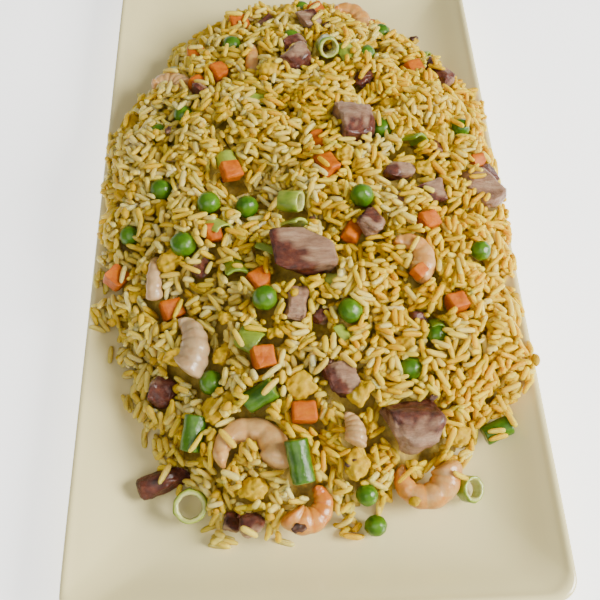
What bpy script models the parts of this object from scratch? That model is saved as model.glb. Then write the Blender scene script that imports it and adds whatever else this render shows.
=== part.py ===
"""Fried rice plate: a long porcelain plate with a heap of rice, shrimp, pork, egg and vegetables.

Metres, +Z up. The origin is at the middle of the plate's foot, +Y runs along the plate.
"""
import math
import random

import bmesh
import bpy
from mathutils import Matrix, Vector, noise

MM = 0.001
# Room between the rice and everything set into it
GAP = 0.35 * MM
SHARP_ANGLE = 40

# Plate
PLATE_WIDTH = 165 * MM
PLATE_LENGTH = 305 * MM
PLATE_HEIGHT = 18 * MM
RIM_CORNER = 9 * MM
CORNER_GROWTH = 0.35
CORNER_STEPS = 4
FLOOR_HEIGHT = 6.5 * MM
FLOOR_INSET = 48 * MM
FOOT_INSET = 26 * MM
FOOT_WIDTH = 5 * MM
FOOT_DEPTH = 1.5 * MM
# How far below the table the plate's cutter starts, so that it clears the heap's underside
CUTTER_START = -10 * MM
# Upper surface of the plate: inset from the rim's outer edge, height above the table
UPPER_PROFILE = [
    (0.7 * MM, PLATE_HEIGHT - 0.3 * MM),
    (1.8 * MM, PLATE_HEIGHT),
    (3.2 * MM, PLATE_HEIGHT - 0.5 * MM),
    (6 * MM, PLATE_HEIGHT - 2.4 * MM),
    (11 * MM, FLOOR_HEIGHT + 5.6 * MM),
    (18 * MM, FLOOR_HEIGHT + 2.5 * MM),
    (27 * MM, FLOOR_HEIGHT + 0.8 * MM),
    (36 * MM, FLOOR_HEIGHT + 0.2 * MM),
    (FLOOR_INSET, FLOOR_HEIGHT),
]
# Outer side and underside, from the middle of the foot out to the rim's edge
LOWER_PROFILE = [
    (FOOT_INSET + FOOT_WIDTH + 1 * MM, FOOT_DEPTH),
    (FOOT_INSET + FOOT_WIDTH, 0.0),
    (FOOT_INSET, 0.0),
    (FOOT_INSET - 1.5 * MM, 2 * MM),
    (14 * MM, 6.2 * MM),
    (5.5 * MM, 11.5 * MM),
    (0.0, 16.2 * MM),
]

# Rice heap
# Reach of the rice from its middle, every 15 degrees anticlockwise from +X
HEAP_REACH = [reach * MM for reach in (80, 82, 91, 102, 113, 123, 127, 123, 110, 96, 88, 83,
                                       80, 82, 88, 96, 110, 130, 127, 123, 117, 107, 92, 83)]
HEAP_HALF_WIDTH = 80.5 * MM
HEAP_TOP = 45.5 * MM
HEAP_EDGE = 3 * MM
HEAP_FULLNESS = 2.5
HEAP_STEEPNESS = 0.68
HEAP_SPOKES = 48
HEAP_RINGS = 13
# Below 1, the heap's rings crowd towards its edge, where it is steepest
RING_CROWDING = 0.85
OUTLINE_WAVES = 5
# How fast the lumps fade in from the edge
LUMP_FADE = 2.5
OUTLINE_WOBBLE = 4 * MM
# Which layer of the noise each unevenness of the heap is taken from
OUTLINE_LAYER = 4.1
LUMP_LAYER = 1.7
RIPPLE_LAYER = 8.3
LUMP_SIZE = 16 * MM
LUMP_HEIGHT = 4.5 * MM
RIPPLE_SIZE = 8 * MM
RIPPLE_HEIGHT = 2 * MM

# Toppings
PEA_DIAMETER = 9.4 * MM
CARROT_SIDE = 8.6 * MM
BEAN_DIAMETER = 7.6 * MM
BEAN_SIDES = 10
SHRIMP_THICKNESS = 9.4 * MM
SHRIMP_SIDES = 7
SHRIMP_RINGS = 9
RING_STEPS = 10

# Places are hand set in millimetres: x, y, then how far the middle of the piece stands above the
# heap's surface there. Angles are degrees.
# x, y, rise, heading, roll, pitch, curl, bend radius, thickness
SHRIMP = [
    (-55, 55, -1.5, 80, 0, 10, 140, 8, 0.95),
    (-19, 70, -12.5, 0, 0, -90, 110, 14, 0.6),
    (-55, -37, -10.5, 0, 0, -90, 110, 12, 0.65),
    (-51, -66, -1, 0, 0, -25, 100, 14, 1.25),
    (35, -39, -1.5, 30, 10, 0, 190, 7.5, 0.9),
    (-22, -104, 2, 90, 0, 8, 235, 10, 0.9),
    (-3, -119, 0.5, -45, 0, 15, 215, 6.5, 0.88),
    (37, -110, 1.5, 270, 180, 12, 230, 8.5, 0.95),
    (3, -98, -2, 0, 0, -15, 60, 12, 0.8),
    (24, 104, -1, 40, 15, 0, 200, 8.5, 1.0),
]
# x, y, rise, heading, tilt, length, width, height
PORK = [
    (6, 96, 0, 20, 5, 10, 9, 7),
    (1, 60, 0, 40, 10, 15, 10, 8),
    (21, 24, 1, 100, 10, 20, 14, 11),
    (61, 67, 0, 120, 20, 17, 9, 6),
    (37, 0, 0, 20, 10, 13, 7, 7),
    (69, -1, 1, -50, 15, 18, 10, 7),
    (24, -26, 0.5, 50, 10, 9, 8, 8),
    (-2, -37, 1.5, 10, 8, 21, 16, 10),
    (-4, -56, 0, 85, 10, 13, 7, 7),
    (10, -83, 0.5, 15, 10, 11, 12, 7),
    (34, -97, 4, 15, 8, 17, 16, 11),
    (-21, -124, 1, 10, 0, 9, 7, 6),
    (-51, -107, 2, 22, 10, 19, 8, 5),
    (-52, -79, 0, 70, 15, 10, 8, 7),
    (-40, 48, 0, 30, 10, 8, 7, 6),
]
# x, y, rise, size
PEAS = [
    (-54, -1, 0.5, 0.95),
    (-35, -14, 2, 1.0),
    (-21, -15, 1, 0.95),
    (-44, -30, 2, 1.05),
    (21, -15, 2.2, 1.0),
    (64, -33, 0.8, 0.85),
    (-15, -55, 1.5, 1.0),
    (14, -60, 2, 1.02),
    (-34, -80, 0.5, 0.95),
    (17, -117, 1, 0.85),
    (20, -125, 1.5, 0.85),
]
# x, y, rise, heading, tilt, length, size
BEANS = [
    (-5, -109, 6, 100, 25, 14, 1.0),
    (-40, -96, 0.5, 80, 20, 12, 1.0),
    (-17, -87, 1.5, 20, 25, 11, 1.0),
    (65, -94, 3, 20, 10, 10, 0.9),
]
# x, y, rise, heading, tilt, stretch
CARROTS = [
    (-33, 60, 0.5, 35, 15, 0.9),
    (6, 15, 0.5, 15, 10, 0.8),
    (9, 1, 0.5, 120, 10, 1.4),
    (-27, 0, 0.8, 25, 20, 1.0),
    (45, -23, 1, 30, 15, 1.0),
    (-70, -35, 1.5, 55, 20, 1.0),
    (52, -55, 0.5, 25, 10, 0.9),
    (-16, -75, 1, 15, 20, 1.0),
    (-3, -93, 0.5, 5, 10, 1.1),
]
# x, y, rise, heading, size
EGG = [
    (-11, 54, 0.5, 70, 1.0),
    (55, 21, 0.5, 80, 0.9),
    (-4, -84, 0.5, 30, 1.0),
    (14, -108, 0, 70, 1.0),
    (-20, -115, -0.5, 15, 0.9),
]
# x, y, rise, heading, tilt, outer radius, height
SCALLION = [
    (13, 69, 0.5, 10, 60, 4.6, 8.0),
    (-5, -16, 0.5, 70, 75, 4.2, 8.0),
    (-42, -117, 2.5, 20, 20, 6.0, 5.0),
    (53, -114, 2.5, 60, 35, 4.6, 5.0),
]

# Shapes of the toppings; a shrimp thins to its tail, is grooved at each segment and ends in a fan
SHRIMP_TAPER = 0.6
SHRIMP_HEAD = 0.72
SHRIMP_GROOVE = 0.07
FAN_START = 0.86
FAN_THINNING = 0.35
FAN_SPREAD = 0.5
CURL_TIGHTENING = 0.18
PORK_ROUNDING = 1.0 * MM
PORK_UNEVENNESS = 0.9 * MM
PORK_SEED = 20
CARROT_FLATTENING = 0.9
CARROT_ROUNDING = 0.7 * MM
CARROT_UNEVENNESS = 0.4 * MM
CARROT_SEED = 50
PEA_FLATTENING = 0.93
BEAN_TAPER = 0.93
BEAN_ROUNDING = 0.12
EGG_RADIUS = 5.2 * MM
EGG_PROPORTIONS = (1.1, 0.85, 0.6)
EGG_LUMP_SIZE = 5 * MM
EGG_UNEVENNESS = 0.28
# Wall of a scallion ring as a share of its radius
RING_WALL = 0.32

COLOURS = {
    "porcelain": ((0.80, 0.75, 0.62), 0.2),
    "rice": ((0.80, 0.55, 0.14), 0.6),
    "shrimp": ((0.85, 0.42, 0.16), 0.4),
    "pork": ((0.42, 0.18, 0.11), 0.55),
    "pea": ((0.16, 0.27, 0.02), 0.4),
    "bean": ((0.14, 0.22, 0.02), 0.45),
    "carrot": ((0.83, 0.22, 0.02), 0.4),
    "egg": ((0.90, 0.60, 0.05), 0.5),
    "scallion": ((0.62, 0.66, 0.28), 0.4),
}


def clear_scene():
    """Remove every object left in the open file."""
    for item in list(bpy.data.objects):
        bpy.data.objects.remove(item, do_unlink=True)


def make_materials():
    """One Principled material for each kind of piece."""
    made = {}
    for name, (colour, roughness) in COLOURS.items():
        material = bpy.data.materials.new(name)
        material.use_nodes = True
        shader = material.node_tree.nodes["Principled BSDF"]
        shader.inputs["Base Color"].default_value = (*colour, 1.0)
        shader.inputs["Roughness"].default_value = roughness
        made[name] = material
    return made


def make_object(bm, name, material):
    """Make a named, smooth-shaded object, in triangles so that a pocket cut from it fits it."""
    bmesh.ops.triangulate(bm, faces=bm.faces)
    bmesh.ops.recalc_face_normals(bm, faces=bm.faces)
    mesh = bpy.data.meshes.new(name)
    bm.to_mesh(mesh)
    bm.free()
    mesh.materials.append(material)
    mesh.shade_smooth()
    mesh.set_sharp_from_angle(angle=math.radians(SHARP_ANGLE))
    made = bpy.data.objects.new(name, mesh)
    bpy.context.scene.collection.objects.link(made)
    return made


def rounded_rectangle(inset):
    """Points of the plate's outline moved inwards; its corners open up towards the well."""
    radius = RIM_CORNER + CORNER_GROWTH * inset
    half_x = PLATE_WIDTH / 2 - inset - radius
    half_y = PLATE_LENGTH / 2 - inset - radius
    points = []
    for corner, (side_x, side_y) in enumerate([(1, 1), (-1, 1), (-1, -1), (1, -1)]):
        for step in range(CORNER_STEPS + 1):
            angle = math.pi / 2 * (corner + step / CORNER_STEPS)
            points.append((side_x * half_x + radius * math.cos(angle),
                           side_y * half_y + radius * math.sin(angle)))
    return points


def add_loop(bm, points, height):
    """Add a closed loop of edges at one height."""
    verts = [bm.verts.new((x, y, height)) for x, y in points]
    return [bm.edges.new((verts[i - 1], verts[i])) for i in range(len(verts))]


def skin_profile(profile):
    """Closed body through the plate's outline at each inset and height, capped at both ends."""
    bm = bmesh.new()
    loops = [add_loop(bm, rounded_rectangle(inset), height) for inset, height in profile]
    for lower, upper in zip(loops, loops[1:]):
        bmesh.ops.bridge_loops(bm, edges=lower + upper)
    for end in (loops[0], loops[-1]):
        bmesh.ops.holes_fill(bm, edges=end, sides=0)
    return bm


def make_plate(material):
    """The plate: foot ring, flared side, crisp rim and a well that rises softly to it."""
    return make_object(skin_profile(LOWER_PROFILE + UPPER_PROFILE), "plate", material)


def plate_surface(x, y):
    """Height of the plate's upper surface at a point away from its corners."""
    inset = min(PLATE_WIDTH / 2 - abs(x), PLATE_LENGTH / 2 - abs(y))
    for (near, high), (far, low) in zip(UPPER_PROFILE, UPPER_PROFILE[1:]):
        if inset < far:
            share = max(0.0, (inset - near) / (far - near))
            return high + (low - high) * share
    return FLOOR_HEIGHT


def heap_reach(angle):
    """Distance from the heap's middle to its uneven outline in one direction."""
    place = angle / (2 * math.pi) * len(HEAP_REACH)
    step = math.floor(place)
    near, far = (HEAP_REACH[(step + i) % len(HEAP_REACH)] for i in (0, 1))
    share = (1 - math.cos(math.pi * (place - step))) / 2
    wobble = OUTLINE_WOBBLE * noise.noise(Vector((OUTLINE_WAVES * math.cos(angle),
                                               OUTLINE_WAVES * math.sin(angle), OUTLINE_LAYER)))
    reach = near + (far - near) * share + wobble
    return min(reach, HEAP_HALF_WIDTH / max(0.1, abs(math.cos(angle))))


def heap_surface(x, y):
    """Height of the top of the rice at a point: a dome with lumps and ripples."""
    angle = math.atan2(y, x)
    reach = heap_reach(angle)
    share = min(1.0, math.hypot(x, y) / reach)
    base = plate_surface(reach * math.cos(angle), reach * math.sin(angle)) + HEAP_EDGE
    dome = (1.0 - share ** HEAP_FULLNESS) ** HEAP_STEEPNESS
    lumps = LUMP_HEIGHT * noise.noise(Vector((x / LUMP_SIZE, y / LUMP_SIZE, LUMP_LAYER)))
    ripple = RIPPLE_HEIGHT * noise.noise(Vector((x / RIPPLE_SIZE, y / RIPPLE_SIZE, RIPPLE_LAYER)))
    return base + (HEAP_TOP - base) * dome + (lumps + ripple) * min(1.0, LUMP_FADE * dome)


def make_heap(material):
    """The rice: rings of an uneven dome, cut below by the plate and above by the toppings."""
    bm = bmesh.new()
    middle = bm.verts.new((0, 0, heap_surface(0, 0)))
    rings = []
    for ring in range(1, HEAP_RINGS + 1):
        share = (ring / HEAP_RINGS) ** RING_CROWDING
        verts = []
        for spoke in range(HEAP_SPOKES):
            angle = 2 * math.pi * spoke / HEAP_SPOKES
            x = share * heap_reach(angle) * math.cos(angle)
            y = share * heap_reach(angle) * math.sin(angle)
            verts.append(bm.verts.new((x, y, heap_surface(x, y))))
        rings.append(verts)
    rings.append([bm.verts.new((vert.co.x, vert.co.y, 0.0)) for vert in rings[-1]])
    for i in range(HEAP_SPOKES):
        bm.faces.new((middle, rings[0][i - 1], rings[0][i]))
        for inner, outer in zip(rings, rings[1:]):
            bm.faces.new((inner[i], inner[i - 1], outer[i - 1], outer[i]))
    bm.faces.new(rings[-1])
    return make_object(bm, "rice_heap", material)


def make_shrimp_mesh(curl, bend, size):
    """A curled, segmented body that thins to a flat tail fan, lying in the XY plane."""
    bm = bmesh.new()
    rings = []
    for ring in range(SHRIMP_RINGS + 1):
        along = ring / SHRIMP_RINGS
        angle = math.radians(curl) * (along - 0.5)
        thick = 0.5 * SHRIMP_THICKNESS * size * (1.0 - SHRIMP_TAPER * along ** 1.6)
        thick *= SHRIMP_HEAD if ring == 0 else 1.0 - SHRIMP_GROOVE * (ring % 2)
        fan = max(0.0, (along - FAN_START) / (1.0 - FAN_START))
        wide = thick * (1.0 - FAN_THINNING * fan)
        tall = thick * (1.0 + FAN_SPREAD * fan)
        reach = bend * (1.0 - CURL_TIGHTENING * along)
        verts = []
        for side in range(SHRIMP_SIDES):
            turn = 2 * math.pi * side / SHRIMP_SIDES
            out = reach + wide * math.cos(turn)
            verts.append(bm.verts.new((out * math.cos(angle), out * math.sin(angle),
                                       tall * math.sin(turn))))
        rings.append(verts)
    for lower, upper in zip(rings, rings[1:]):
        for i in range(SHRIMP_SIDES):
            bm.faces.new((lower[i - 1], lower[i], upper[i], upper[i - 1]))
    for end in (rings[0], rings[-1]):
        bm.faces.new(end)
    return bm


def make_block_mesh(length, width, height, rounding, unevenness, seed):
    """A cut chunk: a bevelled box whose corners are pushed about."""
    rng = random.Random(seed)
    bm = bmesh.new()
    bmesh.ops.create_cube(bm, size=1.0)
    bmesh.ops.scale(bm, vec=(length, width, height), verts=bm.verts)
    for vert in bm.verts:
        vert.co += Vector([rng.uniform(-unevenness, unevenness) for _ in range(3)])
    bmesh.ops.bevel(bm, geom=bm.edges[:], offset=rounding, segments=1, profile=0.5,
                    affect="EDGES", material=-1)
    return bm


def make_pea_mesh(size):
    """A slightly flattened ball."""
    bm = bmesh.new()
    bmesh.ops.create_icosphere(bm, subdivisions=2, radius=PEA_DIAMETER * size / 2)
    bmesh.ops.scale(bm, vec=(1.0, 1.0, PEA_FLATTENING), verts=bm.verts)
    return bm


def make_bean_mesh(length, size):
    """A length of green bean cut straight across, with softened ends, lying along X."""
    bm = bmesh.new()
    radius = BEAN_DIAMETER * size / 2
    bmesh.ops.create_cone(bm, cap_ends=True, segments=BEAN_SIDES, radius1=radius,
                          radius2=BEAN_TAPER * radius, depth=length)
    rims = [edge for edge in bm.edges if abs(edge.verts[0].co.z - edge.verts[1].co.z) < 0.1 * length]
    bmesh.ops.bevel(bm, geom=rims, offset=BEAN_ROUNDING * radius, segments=1, profile=0.5,
                    affect="EDGES", material=-1)
    bmesh.ops.rotate(bm, verts=bm.verts, matrix=Matrix.Rotation(math.pi / 2, 3, "Y"))
    return bm


def make_egg_mesh(size, seed):
    """A soft curd of scrambled egg."""
    bm = bmesh.new()
    bmesh.ops.create_icosphere(bm, subdivisions=2, radius=EGG_RADIUS * size)
    bmesh.ops.scale(bm, vec=EGG_PROPORTIONS, verts=bm.verts)
    for vert in bm.verts:
        push = noise.noise(vert.co / EGG_LUMP_SIZE + Vector((seed, 0, 0)))
        vert.co *= 1.0 + EGG_UNEVENNESS * push
    return bm


def make_ring_mesh(radius, height):
    """A short ring cut from a scallion, standing on the XY plane's middle."""
    bm = bmesh.new()
    wall = RING_WALL * radius
    corners = [(radius, -height / 2), (radius, height / 2),
               (radius - wall, height / 2), (radius - wall, -height / 2)]
    verts = [bm.verts.new((x, 0, z)) for x, z in corners]
    edges = [bm.edges.new((verts[i - 1], verts[i])) for i in range(4)]
    bmesh.ops.spin(bm, geom=verts + edges, cent=(0, 0, 0), axis=(0, 0, 1), angle=2 * math.pi,
                   steps=RING_STEPS, use_merge=True)
    bmesh.ops.remove_doubles(bm, verts=bm.verts, dist=0.01 * MM)
    return bm


def lay(made, x, y, rise, turns):
    """Set a topping on the heap: turned about its own X, Y and then the vertical."""
    roll, pitch, heading = (math.radians(turn) for turn in turns)
    made.location = (x * MM, y * MM, heap_surface(x * MM, y * MM) + rise * MM)
    made.rotation_euler = (roll, pitch, heading)


def make_toppings(materials):
    """Every topping as its own object, set into the heap."""
    made = []

    def add(kind, number, bm, x, y, rise, turns):
        piece = make_object(bm, f"{kind}_{number:02d}", materials[kind])
        lay(piece, x, y, rise, turns)
        made.append(piece)

    for number, (x, y, rise, heading, roll, pitch, curl, bend, size) in enumerate(SHRIMP, 1):
        body = make_shrimp_mesh(curl, bend * MM, size)
        add("shrimp", number, body, x, y, rise, (roll, pitch, heading))
    for number, (x, y, rise, heading, tilt, length, width, height) in enumerate(PORK, 1):
        block = make_block_mesh(length * MM, width * MM, height * MM, PORK_ROUNDING, PORK_UNEVENNESS,
                                PORK_SEED + number)
        add("pork", number, block, x, y, rise, (tilt, tilt / 2, heading))
    for number, (x, y, rise, size) in enumerate(PEAS, 1):
        add("pea", number, make_pea_mesh(size), x, y, rise, (20 * number, 15 * number, 0))
    for number, (x, y, rise, heading, tilt, length, size) in enumerate(BEANS, 1):
        add("bean", number, make_bean_mesh(length * MM, size), x, y, rise, (0, -tilt, heading))
    for number, (x, y, rise, heading, tilt, stretch) in enumerate(CARROTS, 1):
        side = CARROT_SIDE
        block = make_block_mesh(side * stretch, side, CARROT_FLATTENING * side, CARROT_ROUNDING,
                                CARROT_UNEVENNESS, CARROT_SEED + number)
        add("carrot", number, block, x, y, rise, (tilt, tilt / 2, heading))
    for number, (x, y, rise, heading, size) in enumerate(EGG, 1):
        add("egg", number, make_egg_mesh(size, number), x, y, rise, (10, 0, heading))
    for number, (x, y, rise, heading, tilt, radius, height) in enumerate(SCALLION, 1):
        ring = make_ring_mesh(radius * MM, height * MM)
        add("scallion", number, ring, x, y, rise, (tilt, 0, heading))
    return made


def make_pocket(piece, cutters):
    """A cutter that is the topping grown by the gap on every side."""
    bm = bmesh.new()
    bm.from_mesh(piece.data)
    grown = [vert.co + vert.normal * GAP * vert.calc_shell_factor() for vert in bm.verts]
    for vert, place in zip(bm.verts, grown):
        vert.co = place
    mesh = bpy.data.meshes.new(f"pocket_{piece.name}")
    bm.to_mesh(mesh)
    bm.free()
    pocket = bpy.data.objects.new(mesh.name, mesh)
    pocket.location = piece.location
    pocket.rotation_euler = piece.rotation_euler
    hide_cutter(pocket, cutters)


def hide_cutter(cutter, collection):
    """Keep a cutter out of renders and show it as wire."""
    cutter.hide_render = True
    cutter.display_type = "WIRE"
    collection.objects.link(cutter)


def carve_heap(heap, toppings):
    """Cut the plate and every topping, each with its gap, out of the heap."""
    cutters = bpy.data.collections.new("cutters")
    bpy.context.scene.collection.children.link(cutters)
    raised = [(inset, height + GAP) for inset, height in UPPER_PROFILE]
    below = (UPPER_PROFILE[0][0], CUTTER_START)
    bm = skin_profile([below] + raised)
    bmesh.ops.recalc_face_normals(bm, faces=bm.faces)
    mesh = bpy.data.meshes.new("pocket_plate")
    bm.to_mesh(mesh)
    bm.free()
    hide_cutter(bpy.data.objects.new(mesh.name, mesh), cutters)
    for piece in toppings:
        make_pocket(piece, cutters)
    cut = heap.modifiers.new("carve", "BOOLEAN")
    cut.operation = "DIFFERENCE"
    cut.operand_type = "COLLECTION"
    cut.collection = cutters
    cut.solver = "EXACT"


def main():
    """Build the plate, the toppings and the heap cut to fit them."""
    clear_scene()
    materials = make_materials()
    make_plate(materials["porcelain"])
    heap = make_heap(materials["rice"])
    carve_heap(heap, make_toppings(materials))


main()
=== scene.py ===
"""Looks of the fried rice plate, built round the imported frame.

Every size is in metres unless a name says otherwise; +Y runs along the plate and +Z is up.
"""
import math

import bmesh
import bpy
import numpy as np
from mathutils import Euler, Matrix, Vector, noise
from mathutils.bvhtree import BVHTree


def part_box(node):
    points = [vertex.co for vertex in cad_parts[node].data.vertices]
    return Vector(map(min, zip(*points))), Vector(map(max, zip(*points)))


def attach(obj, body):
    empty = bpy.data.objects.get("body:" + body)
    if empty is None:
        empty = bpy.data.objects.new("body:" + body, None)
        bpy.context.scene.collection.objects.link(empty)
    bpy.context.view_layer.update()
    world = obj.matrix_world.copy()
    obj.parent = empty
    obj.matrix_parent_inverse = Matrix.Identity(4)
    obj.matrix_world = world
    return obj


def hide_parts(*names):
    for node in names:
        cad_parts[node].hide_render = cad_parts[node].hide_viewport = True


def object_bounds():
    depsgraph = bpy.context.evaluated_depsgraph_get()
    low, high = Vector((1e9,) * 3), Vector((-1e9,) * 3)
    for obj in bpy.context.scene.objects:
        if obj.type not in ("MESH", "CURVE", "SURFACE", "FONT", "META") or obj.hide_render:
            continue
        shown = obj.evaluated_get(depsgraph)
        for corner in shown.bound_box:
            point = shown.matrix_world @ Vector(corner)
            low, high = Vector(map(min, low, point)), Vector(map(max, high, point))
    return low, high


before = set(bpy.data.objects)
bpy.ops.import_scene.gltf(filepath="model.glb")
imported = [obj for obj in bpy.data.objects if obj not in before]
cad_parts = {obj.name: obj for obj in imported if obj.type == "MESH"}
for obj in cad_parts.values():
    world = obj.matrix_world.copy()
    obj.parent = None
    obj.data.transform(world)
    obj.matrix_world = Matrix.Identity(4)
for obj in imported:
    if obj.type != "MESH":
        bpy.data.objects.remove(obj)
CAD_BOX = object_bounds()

bl_info = {
    "name": "Fried rice plate",
    "version": (1, 0, 0),
    "blender": (4, 5, 0),
    "location": "View3D > Sidebar > Fried rice",
    "description": "Builds a long plate of fried rice, grain by grain, with its toppings",
    "category": "Add Mesh",
}

MM = 0.001
BODY = "root"

# Plate: inset from the rim's outer edge and height, in millimetres, from the foot round to the well
PLATE_PROFILE = [
    (33, 1.5), (31, 1.4), (30.6, 0.2), (29.8, 0.0), (27.2, 0.0), (26.2, 0.3), (24.6, 2.0),
    (19, 4.2), (14, 6.4), (9, 9.2), (5.5, 11.7), (2.4, 14.4), (0.5, 16.0), (0.1, 16.7),
    (0.4, 17.5), (1.1, 17.9), (1.9, 17.9), (2.7, 17.5), (3.6, 16.8), (6, 15.5), (9, 13.7), (13, 11.3),
    (18, 9.1), (23, 7.7), (29, 6.9), (36, 6.55), (46, 6.5),
]
PLATE_CORNER = 8 * MM
PLATE_CORNER_GROWTH = 0.25
PLATE_CORNER_STEPS = 5
PLATE_SIDE_STEPS = 6

# Shrimp, one row for each CAD node: heading, roll, pitch and curl in degrees, then bend radius in
# millimetres, thickness share and how orange it is
SHRIMP_SHAPES = [
    (80, 0, 10, 140, 8, 0.95, 0.35),
    (0, 0, -90, 110, 14, 0.6, 0.75),
    (0, 0, -90, 110, 12, 0.65, 0.1),
    (0, 0, -25, 100, 14, 1.25, 0.0),
    (30, 10, 0, 190, 7.5, 0.9, 0.55),
    (90, 0, 8, 235, 10, 1.04, 0.35),
    (-45, 0, 15, 215, 6.5, 0.88, 0.95),
    (270, 180, 12, 230, 8.5, 0.95, 1.0),
    (0, 0, -15, 60, 12, 0.8, 0.2),
    (40, 15, 0, 200, 8.5, 1.0, 0.6),
]
SHRIMP_THICKNESS = 9.4 * MM

# The strips of pork that are nearly all crust, and how much of them is
PORK_STRIPS = ("pork_13", "pork_14")
STRIP_CRUST = 0.95

# How strongly each sort of piece keeps grains off it. A grain rests only where the mean of this
# below it is under the limit it is dropped with, which is STUCK_COVER for the few laid on toppings
SHRIMP_GUARD = 4.0
TOPPING_GUARD = 1.5
LOOSE_GUARD = 1.0
STUCK_COVER = 3.0

# Further toppings that are not in the frame: x and y in millimetres, size share, heading in degrees
MORE_PEAS = [
    (32, 23, 0.95, 0), (-47, 37, 0.9, 40), (-57, 30, 0.85, 80), (-2, 84, 0.9, 20), (30, 71, 0.9, 60),
    (39, 92, 0.85, 10), (-28, 82, 0.9, 70), (66, 30, 0.85, 30), (34, -78, 0.9, 15), (44, -66, 0.8, 0),
    (-66, -18, 0.85, 55), (4, 118, 0.85, 35),
]
MORE_CARROTS = [
    (-25, 99, 0.95, 20), (-42, 55, 0.8, 60), (51, 68, 0.85, 30), (-33, -26, 0.85, 15),
    (-17, -45, 0.95, 40), (17, -27, 0.8, 70), (-49, -50, 0.95, 25), (39, -46, 0.6, 50),
    (10, 108, 0.9, 35), (37, 104, 0.85, 65), (-44, 80, 0.8, 10), (70, 12, 0.7, 20),
]
MORE_EGG = [
    (-37, 99, 1.0, 20), (-40, 88, 0.8, 60), (-4, 106, 1.1, 10), (-8, 86, 0.9, 45), (12, 55, 0.8, 80),
    (33, 81, 0.7, 30), (52, 90, 0.7, 15), (-70, 44, 1.0, 70), (-66, 53, 1.0, 35), (-30, 31, 0.9, 50),
    (37, 39, 0.7, 5), (16, 6, 1.0, 65), (47, 3, 0.9, 20), (-70, 2, 0.8, 40), (-54, -8, 0.7, 75),
    (-49, -34, 1.1, 25), (27, -34, 0.8, 10), (-61, -42, 0.9, 55), (-28, -58, 0.7, 30),
    (-30, -71, 0.9, 60), (-46, -72, 0.8, 15), (-28, -87, 0.8, 45), (-33, -90, 1.0, 80),
    (-11, -66, 0.7, 20), (-23, -78, 0.7, 50), (7, -51, 0.7, 35), (49, -49, 0.7, 70),
    (32, -69, 1.0, 10), (16, -88, 1.0, 40), (-37, -105, 0.6, 0), (50, -97, 1.1, 60),
    (22, 98, 1.0, 25), (-20, 112, 0.9, 75), (55, 106, 1.0, 25), (62, 48, 0.8, 50),
    (2, 32, 0.8, 15), (-14, 18, 0.7, 65),
]
MORE_PORK = [
    (-1, 77, 0.8, 30), (47, -9, 0.9, 20), (54, 16, 0.6, 70), (34, -13, 0.6, 40), (4, -60, 0.6, 10),
    (-37, -38, 0.6, 55), (6, -78, 0.5, 25), (-28, -122, 0.6, 80), (72, 8, 0.9, 15), (28, 52, 0.8, 60),
    (-12, 100, 0.8, 35), (38, -60, 0.5, 5),
]
MORE_SCALLION = [
    (22, 68, 0.9, 30), (57, 84, 0.8, 70), (44, 17, 1.0, 50), (-29, 8, 0.7, 20), (-14, -32, 0.8, 65),
    (-24, -40, 1.0, 10), (8, -47, 0.7, 80), (12, -66, 0.7, 35), (-20, -67, 0.9, 55), (45, -62, 0.6, 15),
    (-31, -23, 0.8, 40), (-16, 41, 0.8, 75), (-52, 72, 0.7, 25), (-4, -24, 0.9, 60),
]
MORE_DARK = [
    (12, -108, 0.5, 30), (-6, -128, 0.5, 10), (74, -38, 0.5, 60), (-30, 4, 0.4, 45), (3, -20, 0.4, 80),
    (55, 12, 0.4, 15), (-52, 26, 0.4, 70), (20, -72, 0.3, 25), (41, -88, 0.4, 55),
    (14, 92, 0.4, 35), (58, 108, 0.45, 20),
]
# Wall of a further scallion slice, and the steps round it
SLICE_WALL = 1.2 * MM
SLICE_STEPS = 9
# Loose grains on the bare plate, x and y in millimetres
LOOSE_GRAINS = [(-72, -50), (-28, -132), (12, -128), (28, -128), (77, -80), (-62, 78), (66, 92)]
# Shares of broken grains in the first and second fill, and grains dropped on the toppings
FIRST_BROKEN = 0.12
SECOND_BROKEN = 0.6
STUCK_GRAINS = 260
FRINGE_SIZE = 9 * MM
# Grains are sorted by how yellow they are, at these shares of them, and this many are egg crumbs
YOLK_STEPS = [0.22, 0.5, 0.8]
YOLK_PATCH = 22 * MM
CRUMB_SHARE = 0.08
CRUMB_KIND = 4
# Side of a cell of the core's grid, and the lumps on it
CORE_CELL = 1.4 * MM
CORE_LUMP = 1.6 * MM
FLOOR_SIZE = 9.0


def settings():
    """The sizes and colours set in the sidebar."""
    return bpy.context.scene.fried_rice


# ---------------------------------------------------------------- materials

def principled(name, **values):
    """A material whose Principled shader has the given values on its own sockets."""
    material = bpy.data.materials.new(name)
    material.use_nodes = True
    shader = material.node_tree.nodes["Principled BSDF"]
    for socket, value in values.items():
        shader.inputs[socket.replace("_", " ")].default_value = value
    return material


def add_node(material, kind, **values):
    """Add a shader node and set its plain properties and its inputs by name."""
    node = material.node_tree.nodes.new(kind)
    for name, value in values.items():
        if hasattr(node, name):
            setattr(node, name, value)
        else:
            node.inputs[name.replace("_", " ")].default_value = value
    return node


def join(material, source, output, target, socket):
    """Link one node's output to another node's input."""
    material.node_tree.links.new(source.outputs[output], target.inputs[socket])


def shader_of(material):
    """The material's Principled shader."""
    return material.node_tree.nodes["Principled BSDF"]


def noise_field(material, scale, detail=4.0, roughness=0.6, stretch=(1.0, 1.0, 1.0)):
    """A noise pattern on Object coordinates, with its scale in patches per metre."""
    place = add_node(material, "ShaderNodeTexCoord")
    turn = add_node(material, "ShaderNodeMapping", Scale=stretch)
    field = add_node(material, "ShaderNodeTexNoise", Scale=scale, Detail=detail, Roughness=roughness)
    join(material, place, "Object", turn, "Vector")
    join(material, turn, "Vector", field, "Vector")
    return field


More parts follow.
